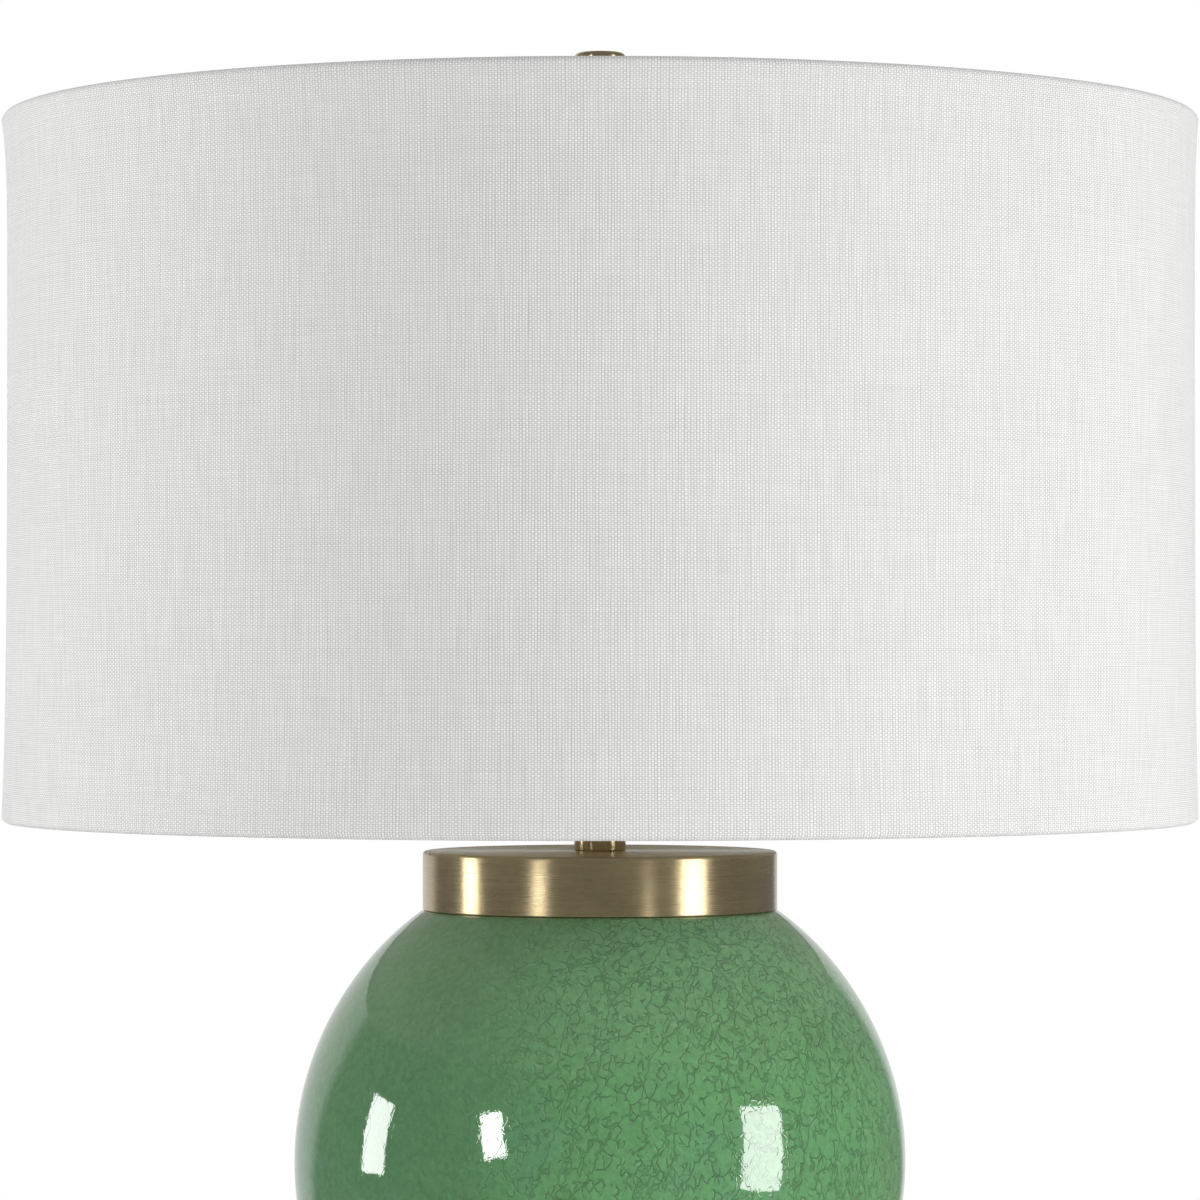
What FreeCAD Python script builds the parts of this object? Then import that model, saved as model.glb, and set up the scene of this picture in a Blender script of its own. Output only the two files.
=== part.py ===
"""Ginger jar table lamp: glazed jar on a brass foot, brass cap and neck, harp, drum shade and finial.

Millimetres, +Z up, origin on the table under the lamp's axis. The harp spreads along X, the switch
faces the front (-Y) and the cord bushing is at the rear (+Y).
"""
import FreeCAD, Part
import os
import re
import Sketcher

DRIVING = {
    # fits and gaps
    "seat_gap": 0.1,
    "slip_gap": 0.2,
    "turning_gap": 0.06,
    # foot, with the felt glued under its rim
    "felt_thickness": 2.0,
    "felt_inset": 1.0,
    "foot_radius": 66.0,
    "foot_height": 20.0,
    "foot_wall": 2.5,
    "rim_chamfer": 0.8,
    # cord bushing in the foot's rear wall
    "bushing_height": 10.0,
    "bushing_bore_radius": 3.5,
    "bushing_wall": 1.4,
    "bushing_flange": 2.0,
    "bushing_flange_thickness": 1.8,
    "bushing_inner_length": 4.0,
    # threaded pipe that clamps the lamp together, its washer and its two nuts
    "pipe_radius": 5.0,
    "pipe_bore_radius": 3.25,
    "pipe_tail": 3.0,
    "pipe_in_socket": 11.0,
    "washer_radius": 17.0,
    "washer_thickness": 1.6,
    "nut_flats": 15.0,
    "nut_height": 4.0,
    # jar
    "seat_thickness": 1.5,
    "seat_inset": 2.5,
    "jar_radius": 111.0,
    "jar_belly_height": 209.9,
    "jar_foot_radius": 58.0,
    "jar_foot_ring": 7.0,
    "jar_wall": 7.0,
    "jar_floor": 8.0,
    "jar_bore_lift": 32.0,
    "jar_mouth_radius": 58.0,
    "jar_mouth_wall": 6.0,
    "gasket_thickness": 2.0,
    # cap and neck
    "cap_radius": 64.3,
    "cap_height": 21.4,
    "cap_wall": 2.0,
    "neck_radius": 9.35,
    "neck_height": 25.4,
    # harp and the saddle that it plugs onto
    "saddle_thickness": 1.6,
    "saddle_width": 10.0,
    "saddle_bend": 4.0,
    "saddle_boss_radius": 9.0,
    "saddle_rise": 12.0,
    "tab_width": 4.2,
    "tab_height": 14.0,
    "harp_height": 225.0,
    "harp_leg_spread": 28.0,
    "harp_straight": 45.0,
    "harp_flare_radius": 30.0,
    "harp_bow_radius": 57.0,
    "harp_wire": 3.8,
    "eye_radius": 5.6,
    "eye_thickness": 4.4,
    "sleeve_wall": 0.9,
    "sleeve_top": 1.2,
    "sleeve_bore_gap": 0.3,
    # swivel stud on top of the harp
    "stud_flange_radius": 6.5,
    "stud_flange_thickness": 2.0,
    "stud_shank_radius": 2.5,
    "stud_head_radius": 3.8,
    "stud_head_thickness": 1.2,
    "stud_post_radius": 3.15,
    "stud_post_height": 10.0,
    # socket
    "socket_hub_radius": 7.6,
    "socket_hub_height": 6.0,
    "socket_cup_radius": 17.2,
    "socket_cup_slope": 5.0,
    "socket_cup_rim": 9.0,
    "socket_metal": 0.5,
    "socket_shell_height": 46.0,
    "socket_lap": 5.0,
    "liner_thickness": 0.6,
    "liner_stand_up": 1.0,
    "insulator_height": 24.5,
    "insulator_flat": 12.2,
    "contact_well_radius": 6.2,
    "contact_well_depth": 4.0,
    "lamp_thread_radius": 13.3,
    "lamp_shell_height": 19.0,
    "lamp_shell_metal": 0.4,
    "contact_width": 4.0,
    "contact_metal": 0.5,
    "terminal_head_radius": 2.8,
    "terminal_head_height": 1.6,
    "terminal_shank_radius": 1.7,
    "terminal_shank_length": 4.0,
    "terminal_height": 17.0,
    "set_screw_radius": 1.7,
    "set_screw_length": 4.6,
    # rotary switch
    "switch_height": 9.0,
    "stem_radius": 1.7,
    "stem_depth": 8.0,
    "stem_reach": 6.0,
    "stem_slot_gap": 0.6,
    "knob_radius": 6.2,
    "knob_skirt": 5.5,
    "knob_standoff": 2.4,
    "knob_wing_thickness": 3.4,
    "knob_wing_length": 9.0,
    # shade
    "shade_radius": 215.9,
    "shade_height": 254.0,
    "shade_skin": 0.8,
    "shade_lining": 0.5,
    "ring_bar": 2.6,
    "spider_drop": 12.8,
    "spider_slope_run": 16.0,
    "spider_arm_radius": 1.5,
    "spider_washer_radius": 11.0,
    "spider_washer_thickness": 1.5,
    "spider_hole_gap": 0.35,
    # finial
    "finial_foot_radius": 7.0,
    "finial_foot_height": 3.2,
    "finial_waist_radius": 4.8,
    "finial_waist_height": 9.4,
    "finial_radius": 9.3,
    "finial_height": 25.2,
    "finial_chamfer": 1.4,
    "finial_bore_depth": 11.0,
}

# counts that aren't lengths
SPIDER_ARMS = 3
WIRE_SIDES = 6

# turns that lay a piece made along Z down along Y, and round from the right to the rear
TO_REAR = FreeCAD.Rotation(FreeCAD.Vector(1, 0, 0), -90)
TO_FRONT = FreeCAD.Rotation(FreeCAD.Vector(1, 0, 0), 90)
RIGHT_TO_REAR = FreeCAD.Rotation(FreeCAD.Vector(0, 0, 1), 90)

DERIVED = {
    # heights above the table
    "foot_top": "felt_thickness + foot_height",
    "jar_base": "foot_top + seat_thickness",
    "belly_z": "jar_base + jar_belly_height",
    "cap_base": "belly_z + sqrt(jar_radius^2 - cap_radius^2)",
    "cap_top": "cap_base + cap_height",
    "shoulder_z": "cap_base - seat_gap",
    "mouth_z": "cap_top - cap_wall - gasket_thickness",
    "neck_top": "cap_top + neck_height",
    "saddle_top": "neck_top + saddle_thickness",
    "tab_base": "neck_top + saddle_rise",
    "tab_top": "tab_base + tab_height",
    "socket_base": "saddle_top + nut_height",
    "cup_rim": "socket_base + socket_hub_height + socket_cup_slope + socket_cup_rim",
    "shell_base": "cup_rim - socket_lap",
    "insulator_top": "shell_base + seat_gap + insulator_height",
    "switch_z": "shell_base + switch_height",
    "terminal_z": "shell_base + terminal_height",
    "pipe_foot": "foot_top - foot_wall - washer_thickness - nut_height - pipe_tail",
    "pipe_head": "socket_base + pipe_in_socket",
    "washer_seat": "neck_top + harp_height",
    "washer_face": "washer_seat + spider_washer_thickness",
    "eye_top": "washer_seat - stud_flange_thickness - seat_gap",
    "bow_centre": "eye_top - eye_thickness / 2 - harp_bow_radius",
    "shade_top": "washer_face + spider_drop",
    "shade_base": "shade_top - shade_height",
    # radii, angles and spacings
    "pipe_hole": "pipe_radius + slip_gap",
    "flare_dx": "harp_leg_spread + harp_flare_radius",
    "flare_dz": "bow_centre - neck_top - harp_straight",
    "flare_reach": "sqrt(flare_dx^2 + flare_dz^2)",
    "flare_angle": "atan(flare_dz / flare_dx) - acos((harp_flare_radius + harp_bow_radius) / flare_reach)",
    "cone_dz": "jar_belly_height - jar_foot_ring",
    "cone_reach": "sqrt(jar_foot_radius^2 + cone_dz^2)",
    "jar_taper": "atan(cone_dz / jar_foot_radius) - acos(jar_radius / cone_reach)",
    "shoulder_radius": "sqrt(jar_radius^2 - (shoulder_z - belly_z)^2)",
    "shell_radius": "socket_cup_radius - socket_metal - slip_gap",
    "liner_radius": "shell_radius - socket_metal - slip_gap",
    "insulator_radius": "liner_radius - liner_thickness - slip_gap",
    "lining_radius": "shade_radius - shade_skin - seat_gap",
    "ring_radius": "lining_radius - shade_lining - seat_gap",
    "ring_inner": "ring_radius - ring_bar",
    "sleeve_bore": "sqrt((saddle_thickness + seat_gap)^2 + (tab_width / 2)^2) + sleeve_bore_gap",
    "wire_corner": "harp_wire / 2 / cos(180deg / %d)" % WIRE_SIDES,
}


def qualified(text):
    """An expression written with plain size names, with each name led by the object that holds it."""

    def lead(match):
        word = match.group(0)
        if word in DRIVING:
            return "Sizes." + word
        if word in DERIVED:
            return "Levels." + word
        return word

    return re.sub(r"\b[a-z_]+\b", lead, str(text))


def make_sheet(doc):
    """The spreadsheet of driving sizes and the set of heights and radii worked out from them."""
    sheet = doc.addObject("Spreadsheet::Sheet", "Sizes")
    for row, (name, size) in enumerate(DRIVING.items(), start=1):
        sheet.set("A%d" % row, name.replace("_", " "))
        sheet.set("B%d" % row, str(size))
        sheet.setAlias("B%d" % row, name)
    levels = doc.addObject("App::VarSet", "Levels")
    for name in DERIVED:
        levels.addProperty("App::PropertyFloat", name, "Derived")
    doc.recompute()
    for name, text in DERIVED.items():
        if name.endswith(("_angle", "_taper")):
            text = "(%s) / 1deg" % text
        levels.setExpression(name, qualified(text))
    doc.recompute()


class Workshop:
    """The document and the few operations that the pieces share."""

    def __init__(self, doc):
        self.doc = doc
        self.pieces = []

    def size(self, text):
        """The present value of an expression, as a plain number."""
        found = self.doc.Sizes.evalExpression(qualified(text))
        return float(getattr(found, "Value", found))

    def body(self, name, z="0", turn=None):
        """A new body for one piece, its own origin at height z on the lamp's axis."""
        body = self.doc.addObject("PartDesign::Body", name)
        body.Label = name
        if turn:
            body.Placement = FreeCAD.Placement(FreeCAD.Vector(), turn)
        body.setExpression("Placement.Base.z", qualified(z))
        self.pieces.append(body)
        return body

    def sketch(self, body, role, name):
        """An empty sketch on one of the body's own origin planes."""
        plane = [f for f in body.Origin.OriginFeatures if f.Role == role][0]
        sketch = body.newObject("Sketcher::SketchObject", name)
        sketch.AttachmentSupport = (plane, [""])
        sketch.MapMode = "FlatFace"
        return sketch

    def pin(self, sketch, index, end, corner):
        """Ties one end of a line or arc to a corner given as a pair of expressions."""
        for kind, text in zip(("DistanceX", "DistanceY"), corner):
            place = sketch.addConstraint(
                Sketcher.Constraint(kind, -1, 1, index, end, self.size(text)))
            sketch.setExpression("Constraints[%d]" % place, qualified(text))

    def outline(self, sketch, corners, arcs=None, closed=True):
        """Lines through the corners. arcs gives, by the number of its side, a side's radius: positive
        where the arc turns to the left of the way from its first corner to its second."""
        arcs = arcs or {}
        ends = [FreeCAD.Vector(self.size(x), self.size(y), 0) for x, y in corners]
        sides = len(corners) if closed else len(corners) - 1
        starts = []
        for side in range(sides):
            first = ends[side]
            second = ends[(side + 1) % len(ends)]
            if side not in arcs:
                index = sketch.addGeometry(Part.LineSegment(first, second), False)
                starts.append((index, 1, 2))
                continue
            radius = self.size(arcs[side])
            chord = second - first
            rise = max(radius ** 2 - chord.Length ** 2 / 4, 0) ** 0.5
            across = FreeCAD.Vector(-chord.y, chord.x, 0).normalize() * (rise if radius > 0 else -rise)
            centre = (first + second) * 0.5 + across
            middle = centre - FreeCAD.Vector(across).normalize() * abs(radius)
            index = sketch.addGeometry(Part.ArcOfCircle(first, middle, second), False)
            starts.append((index, 1, 2) if radius > 0 else (index, 2, 1))
            place = sketch.addConstraint(Sketcher.Constraint("Radius", index, abs(radius)))
            sketch.setExpression("Constraints[%d]" % place, qualified("abs(%s)" % arcs[side]))
        for side, (index, begin, _) in enumerate(starts):
            self.pin(sketch, index, begin, corners[side])
            if side:
                before, _, finish = starts[side - 1]
                sketch.addConstraint(Sketcher.Constraint("Coincident", before, finish, index, begin))
        if closed:
            sketch.addConstraint(Sketcher.Constraint(
                "Coincident", starts[-1][0], starts[-1][2], starts[0][0], starts[0][1]))
        else:
            self.pin(sketch, starts[-1][0], starts[-1][2], corners[-1])

    def circle(self, sketch, centre, radius):
        """A circle whose centre and radius are expressions."""
        middle = FreeCAD.Vector(self.size(centre[0]), self.size(centre[1]), 0)
        index = sketch.addGeometry(
            Part.Circle(middle, FreeCAD.Vector(0, 0, 1), self.size(radius)), False)
        self.pin(sketch, index, 3, centre)
        place = sketch.addConstraint(Sketcher.Constraint("Radius", index, self.size(radius)))
        sketch.setExpression("Constraints[%d]" % place, qualified(radius))

    def turned(self, name, corners, arcs=None, z="0", turn=None, body=None):
        """A piece turned about its own Z axis from an outline of (radius, height) corners."""
        body = body or self.body(name, z, turn)
        sketch = self.sketch(body, "XZ_Plane", name + "_outline")
        self.outline(sketch, corners, arcs)
        feature = body.newObject("PartDesign::Revolution", name + "_turned")
        feature.Profile = sketch
        feature.ReferenceAxis = (sketch, ["V_Axis"])
        feature.Angle = 360
        feature.Refine = False
        return body

    def padded(self, body, role, name, corners, length, arcs=None):
        """Material raised evenly to both sides of an origin plane."""
        sketch = self.sketch(body, role, name + "_outline")
        self.outline(sketch, corners, arcs)
        feature = body.newObject("PartDesign::Pad", name)
        feature.Profile = sketch
        feature.SideType = "Symmetric"
        feature.setExpression("Length", qualified(length))
        return feature

    def pocket(self, body, sketch, length=None, both_sides=False, reverse=False):
        """A cut from the sketch: all the way through both sides, or for a length to one side."""
        feature = body.newObject("PartDesign::Pocket", sketch.Label.replace("_sketch", ""))
        feature.Profile = sketch
        if length:
            feature.setExpression("Length", qualified(length))
        else:
            feature.Type = "ThroughAll"
        feature.SideType = "Symmetric" if both_sides else "One side"
        feature.Reversed = reverse
        return feature

    def group(self, name, original, sides):
        """Like pieces that share one node: a link to the original for each of the named sides."""
        copies = []
        for side in sides:
            copy = self.doc.addObject("App::Link", "%s_%s" % (side, original.Label))
            copy.LinkedObject = original
            copies.append(copy)
        group = self.doc.addObject("Part::Compound", name)
        group.Links = copies
        group.Label = name
        self.pieces.append(group)
        return group

    def drilled(self, body, role, name, centre, radius, length=None, both_sides=False, reverse=False):
        """A round hole square to an origin plane."""
        sketch = self.sketch(body, role, name + "_sketch")
        self.circle(sketch, centre, radius)
        return self.pocket(body, sketch, length, both_sides, reverse)

    def slotted(self, body, role, name, corners, length=None, both_sides=False, reverse=False):
        """A straight-sided cut square to an origin plane."""
        sketch = self.sketch(body, role, name + "_sketch")
        self.outline(sketch, corners)
        return self.pocket(body, sketch, length, both_sides, reverse)


def box_corners(left, bottom, right, top):
    """The four corners of a rectangle, as expressions."""
    return [(left, bottom), (right, bottom), (right, top), (left, top)]


def tube_corners(inner, outer, height):
    """The outline of a plain tube or washer standing on its own origin."""
    return box_corners(inner, "0", outer, height)


def spun_cup(shop, name, z, radius, height, wall):
    """A spun metal cup, open below, with a chamfered top edge and a hole for the pipe."""
    corners = [
        ("pipe_hole", "%s - %s" % (height, wall)),
        ("%s - %s" % (radius, wall), "%s - %s" % (height, wall)),
        ("%s - %s" % (radius, wall), "0"),
        (radius, "0"),
        (radius, "%s - rim_chamfer" % height),
        ("%s - rim_chamfer" % radius, height),
        ("pipe_hole", height),
    ]
    return shop.turned(name, corners, z=z)


def make_foot(shop):
    """The felt, the foot cup, and the bushing that lines the cord's hole in its rear wall."""
    shop.turned("felt_pad", [("0", "0"), ("foot_radius - felt_inset", "0"),
                             ("foot_radius - felt_inset", "felt_thickness"), ("0", "felt_thickness")])
    foot = spun_cup(shop, "base_foot", "felt_thickness", "foot_radius", "foot_height", "foot_wall")
    hole = "bushing_bore_radius + bushing_wall + seat_gap"
    shop.drilled(foot, "XZ_Plane", "cord_hole", ("0", "bushing_height"), hole, "foot_radius + foot_wall")
    flange = "bushing_bore_radius + bushing_wall + bushing_flange"
    bushing = shop.turned("cord_bushing", [
        ("bushing_bore_radius", "-foot_wall - bushing_inner_length"),
        ("bushing_bore_radius + bushing_wall", "-foot_wall - bushing_inner_length"),
        ("bushing_bore_radius + bushing_wall", "0"),
        (flange, "0"),
        (flange, "bushing_flange_thickness"),
        ("bushing_bore_radius", "bushing_flange_thickness"),
    ], z="felt_thickness + bushing_height", turn=TO_REAR)
    bushing.setExpression("Placement.Base.y", qualified("foot_radius"))


def make_clamp(shop):
    """The threaded pipe, and the washers and nuts that pull the lamp together on it."""
    shop.turned("lamp_pipe", tube_corners("pipe_bore_radius", "pipe_radius", "pipe_head - pipe_foot"),
                z="pipe_foot")
    shop.turned("base_washer", tube_corners("pipe_hole", "washer_radius", "washer_thickness"),
                z="foot_top - foot_wall - washer_thickness")
    make_nuts(shop)


def make_nuts(shop):
    """The two like hexagon nuts on the pipe: one under the foot, one on the harp saddle."""
    prism = shop.doc.addObject("Part::Prism", "nut_hexagon")
    prism.Polygon = 6
    prism.setExpression("Circumradius", qualified("nut_flats / 2 / cos(30deg)"))
    prism.setExpression("Height", qualified("nut_height"))
    bore = shop.doc.addObject("Part::Cylinder", "nut_bore")
    bore.setExpression("Radius", qualified("pipe_hole"))
    bore.setExpression("Height", qualified("nut_height"))
    nut = shop.doc.addObject("Part::Cut", "hex_nut")
    nut.Base = prism
    nut.Tool = bore
    group = shop.group("hex_nuts", nut, ["base", "saddle"])
    for copy, height in zip(group.Links, ("pipe_foot + pipe_tail", "saddle_top")):
        copy.setExpression("Placement.Base.z", qualified(height))


def make_jar(shop):
    """The jar, with the pad under it and the gasket on its mouth.

    Above the widest line it is part of a ball. Below, the ball runs on until it meets, tangent, the
    straight taper that ends on the foot ring. Heights here are above the jar's own base.
    """
    shop.turned("jar_seat_pad", tube_corners("pipe_hole", "jar_foot_radius - seat_inset", "seat_thickness"),
                z="foot_top")
    bore = "jar_radius - jar_wall"
    shoulder = "shoulder_z - jar_base"
    mouth = "mouth_z - jar_base"
    lifted_bore = ("(%s) * cos(jar_bore_lift * 1deg)" % bore,
                   "jar_belly_height + (%s) * sin(jar_bore_lift * 1deg)" % bore)
    shop.turned("jar", [
        ("jar_radius * cos(jar_taper * 1deg)", "jar_belly_height - jar_radius * sin(jar_taper * 1deg)"),
        ("shoulder_radius", shoulder),
        ("jar_mouth_radius", shoulder),
        ("jar_mouth_radius", mouth),
        ("jar_mouth_radius - jar_mouth_wall", mouth),
        ("jar_mouth_radius - jar_mouth_wall", shoulder),
        lifted_bore,
        (bore, "jar_belly_height"),
        ("jar_foot_radius - jar_wall", "jar_floor"),
        ("pipe_hole", "jar_floor"),
        ("pipe_hole", "0"),
        ("jar_foot_radius", "0"),
        ("jar_foot_radius", "jar_foot_ring"),
    ], {0: "jar_radius"}, z="jar_base")
    shop.turned("mouth_gasket", tube_corners("pipe_hole", "jar_mouth_radius", "gasket_thickness"),
                z="mouth_z")


def make_cap_and_neck(shop):
    """The brass cap over the jar's mouth and the turned neck that stands on it."""
    spun_cup(shop, "jar_cap", "cap_base", "cap_radius", "cap_height", "cap_wall")
    shop.turned("neck", tube_corners("pipe_hole", "neck_radius", "neck_height"), z="cap_top")


def make_saddle(shop):
    """The bent strap under the socket. Each end rises to a shoulder with a narrow tab on it, which
    the flat side of a harp leg lies against."""
    body = shop.body("harp_saddle", "neck_top")
    outer = "(harp_leg_spread - seat_gap)"
    inner = "(harp_leg_spread - seat_gap - saddle_thickness)"
    shop.padded(body, "XZ_Plane", "strap", [
        ("-%s + saddle_bend" % outer, "0"),
        ("%s - saddle_bend" % outer, "0"),
        (outer, "saddle_bend"),
        (outer, "saddle_rise"),
        (inner, "saddle_rise"),
        (inner, "saddle_bend"),
        ("%s - saddle_bend" % outer, "saddle_thickness"),
        ("-%s + saddle_bend" % outer, "saddle_thickness"),
        ("-" + inner, "saddle_bend"),
        ("-" + inner, "saddle_rise"),
        ("-" + outer, "saddle_rise"),
        ("-" + outer, "saddle_bend"),
    ], "saddle_width", {1: "saddle_bend", 5: "-(saddle_bend - saddle_thickness)",
                        7: "-(saddle_bend - saddle_thickness)", 11: "saddle_bend"})
    for side, sign in (("right", ""), ("left", "-")):
        shop.padded(body, "XZ_Plane", side + "_tab",
                    box_corners(sign + outer, "saddle_rise - saddle_thickness", sign + inner,
                                "saddle_rise + tab_height"), "tab_width")
    boss = shop.sketch(body, "XY_Plane", "boss_outline")
    shop.circle(boss, ("0", "0"), "saddle_boss_radius")
    pad = body.newObject("PartDesign::Pad", "boss")
    pad.Profile = boss
    pad.setExpression("Length", qualified("saddle_thickness"))
    shop.drilled(body, "XY_Plane", "saddle_hole", ("0", "0"), "pipe_hole", both_sides=True)


def wire_section(shop, body, role, name, offset, centre, corner):
    """The many-sided section of a wire, at an offset along the plane's normal."""
    section = shop.sketch(body, role, name)
    section.setExpression("AttachmentOffset.Base.z", qualified(offset))
    corners = []
    for side in range(WIRE_SIDES):
        angle = "%gdeg" % ((side + 0.5) * 360 / WIRE_SIDES)
        corners.append(("%s + %s * cos(%s)" % (centre, corner, angle), "%s * sin(%s)" % (corner, angle)))
    shop.outline(section, corners)
    return section


def make_harp(shop):
    """The bow: a six-sided wire, straight at the legs, flared, then round over the top, where it
    widens to an eye for the stud. The leg ends are cut half away to lie against the saddle's tabs."""
    body = shop.body("harp_bow", "0")
    spine = shop.sketch(body, "XZ_Plane", "harp_spine")
    knee = ("harp_leg_spread + harp_flare_radius * (1 - cos(flare_angle * 1deg))",
            "neck_top + harp_straight + harp_flare_radius * sin(flare_angle * 1deg)")
    hip = ("harp_bow_radius * cos(flare_angle * 1deg)",
           "bow_centre - harp_bow_radius * sin(flare_angle * 1deg)")
    shop.outline(spine, [
        ("harp_leg_spread", "tab_base + seat_gap"),
        ("harp_leg_spread", "neck_top + harp_straight"),
        knee,
        hip,
        ("0", "bow_centre + harp_bow_radius"),
        ("-" + hip[0], hip[1]),
        ("-(%s)" % knee[0], knee[1]),
        ("-harp_leg_spread", "neck_top + harp_straight"),
        ("-harp_leg_spread", "tab_base + seat_gap"),
    ], {1: "-harp_flare_radius", 3: "harp_bow_radius", 4: "harp_bow_radius", 6: "-harp_flare_radius"},
        closed=False)
    section = wire_section(shop, body, "XY_Plane", "harp_section", "tab_base + seat_gap",
                           "harp_leg_spread", "wire_corner")
    bow = body.newObject("PartDesign::AdditivePipe", "bow")
    bow.Profile = section
    bow.Spine = spine
    eye = shop.sketch(body, "XY_Plane", "eye_outline")
    eye.setExpression("AttachmentOffset.Base.z", qualified("eye_top - eye_thickness"))
    shop.circle(eye, ("0", "0"), "eye_radius")
    pad = body.newObject("PartDesign::Pad", "eye")
    pad.Profile = eye
    pad.setExpression("Length", qualified("eye_thickness"))
    drill = shop.sketch(body, "XY_Plane", "eye_bore_sketch")
    drill.setExpression("AttachmentOffset.Base.z", qualified("bow_centre"))
    shop.circle(drill, ("0", "0"), "stud_shank_radius + turning_gap")
    shop.pocket(body, drill, "harp_bow_radius * 2", reverse=True)
    shop.slotted(body, "XZ_Plane", "leg_flats",
                 box_corners("-harp_leg_spread", "neck_top", "harp_leg_spread", "tab_top + seat_gap"),
                 both_sides=True)


def make_sleeves(shop):
    """The two sleeves that drop over the leg ends and lock them to the saddle's tabs."""
    for name, sign in (("harp_sleeve_left", "-"), ("harp_sleeve_right", "")):
        sleeve = shop.turned(name, [
            ("wire_corner + slip_gap", "tab_height"),
            ("sleeve_bore", "tab_height"),
            ("sleeve_bore", "0"),
            ("sleeve_bore + sleeve_wall", "0"),
            ("sleeve_bore + sleeve_wall", "tab_height + sleeve_top"),
            ("wire_corner + slip_gap", "tab_height + sleeve_top"),
        ], z="tab_base + seat_gap")
        sleeve.setExpression("Placement.Base.x", qualified(sign + "harp_leg_spread"))


def make_stud(shop):
    """The stud that swivels in the harp's eye: rivet head, shank, flange and threaded post."""
    head_top = "-stud_flange_thickness - eye_thickness - 2 * seat_gap"
    shop.turned("harp_stud", [
        ("0", "%s - stud_head_thickness" % head_top),
        ("stud_head_radius", "%s - stud_head_thickness" % head_top),
        ("stud_head_radius", head_top),
        ("stud_shank_radius", head_top),
        ("stud_shank_radius", "-stud_flange_thickness"),
        ("stud_flange_radius", "-stud_flange_thickness"),
        ("stud_flange_radius", "0"),
        ("stud_post_radius", "0"),
        ("stud_post_radius", "stud_post_height"),
        ("0", "stud_post_height"),
    ], z="washer_seat")


def make_socket_metal(shop):
    """The socket's cup with its set screw, and the outer shell, slotted for the switch stem."""
    cup = shop.turned("socket_cap", [
        ("pipe_hole", "0"),
        ("socket_hub_radius", "0"),
        ("socket_hub_radius", "socket_hub_height"),
        ("socket_cup_radius - socket_cup_slope", "socket_hub_height"),
        ("socket_cup_radius", "socket_hub_height + socket_cup_slope"),
        ("socket_cup_radius", "cup_rim - socket_base"),
        ("socket_cup_radius - socket_metal", "cup_rim - socket_base"),
        ("socket_cup_radius - socket_metal", "socket_hub_height + socket_cup_slope"),
        ("pipe_hole", "socket_hub_height + socket_cup_slope"),
    ], z="socket_base")
    screw_height = "socket_hub_height / 2"
    shop.drilled(cup, "XZ_Plane", "set_screw_hole", ("0", screw_height), "set_screw_radius + seat_gap",
                 "socket_hub_radius * 2")
    shop.turned("socket_set_screw", [
        ("0", "pipe_hole"),
        ("set_screw_radius", "pipe_hole"),
        ("set_screw_radius", "pipe_hole + set_screw_length"),
        ("0", "pipe_hole + set_screw_length"),
    ], z="socket_base + %s" % screw_height, turn=TO_REAR)
    shell = shop.turned("socket_shell", tube_corners("shell_radius - socket_metal", "shell_radius",
                                                     "socket_shell_height"), z="shell_base")
    stem_slot(shop, shell, "shell_slot", "switch_height")


def stem_slot(shop, body, name, height):
    """A slot open at the lower edge of a tube's front, for the switch stem at a height above it."""
    half = "stem_radius + stem_slot_gap"
    shop.slotted(body, "XZ_Plane", name, box_corners("-(%s)" % half, "-seat_gap", half,
                                                     "%s + %s" % (height, half)),
                 "socket_cup_radius", reverse=True)


def make_socket_core(shop):
    """Inside the shell: card liner, insulator with its terminal screws, lamp thread and contact."""
    liner = shop.turned("socket_liner", tube_corners(
        "liner_radius - liner_thickness", "liner_radius",
        "socket_shell_height + liner_stand_up - seat_gap"), z="shell_base + seat_gap")
    stem_slot(shop, liner, "liner_slot", "switch_height - seat_gap")
    core = shop.turned("socket_insulator", [
        ("0", "0"),
        ("insulator_radius", "0"),
        ("insulator_radius", "insulator_height"),
        ("contact_well_radius", "insulator_height"),
        ("contact_well_radius", "insulator_height - contact_well_depth"),
        ("0", "insulator_height - contact_well_depth"),
    ], z="shell_base + seat_gap")
    for side, sign in (("right", ""), ("left", "-")):
        shop.slotted(core, "XZ_Plane", side + "_flat", box_corners(
            sign + "insulator_flat", "-seat_gap", sign + "insulator_radius * 2",
            "insulator_height - contact_well_depth"), both_sides=True)
    shop.drilled(core, "XZ_Plane", "stem_hole", ("0", "switch_height - seat_gap"),
                 "stem_radius + slip_gap", "insulator_radius + slip_gap", reverse=True)
    shop.drilled(core, "YZ_Plane", "terminal_holes", ("0", "terminal_height - seat_gap"),
                 "terminal_shank_radius + seat_gap", both_sides=True)
    shop.turned("socket_screw_shell", [
        ("contact_well_radius", "0"),
        ("lamp_thread_radius + lamp_shell_metal", "0"),
        ("lamp_thread_radius + lamp_shell_metal", "lamp_shell_height"),
        ("lamp_thread_radius", "lamp_shell_height"),
        ("lamp_thread_radius", "lamp_shell_metal"),
        ("contact_well_radius", "lamp_shell_metal"),
    ], z="insulator_top")
    make_contact(shop)
    make_terminals(shop)


def make_contact(shop):
    """The springy centre contact: a strip that lies in the insulator's well and rises to its tip."""
    body = shop.body("socket_centre_contact", "insulator_top - contact_well_depth")
    reach = "(contact_well_radius - contact_width / 2)"
    shop.padded(body, "XZ_Plane", "contact_strip", [
        ("-" + reach, "0"),
        ("0", "0"),
        (reach, "contact_well_depth - 2 * contact_metal"),
        (reach, "contact_well_depth - contact_metal"),
        ("contact_metal", "2 * contact_metal"),
        ("-" + reach, "contact_metal"),
    ], "contact_width")


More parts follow.
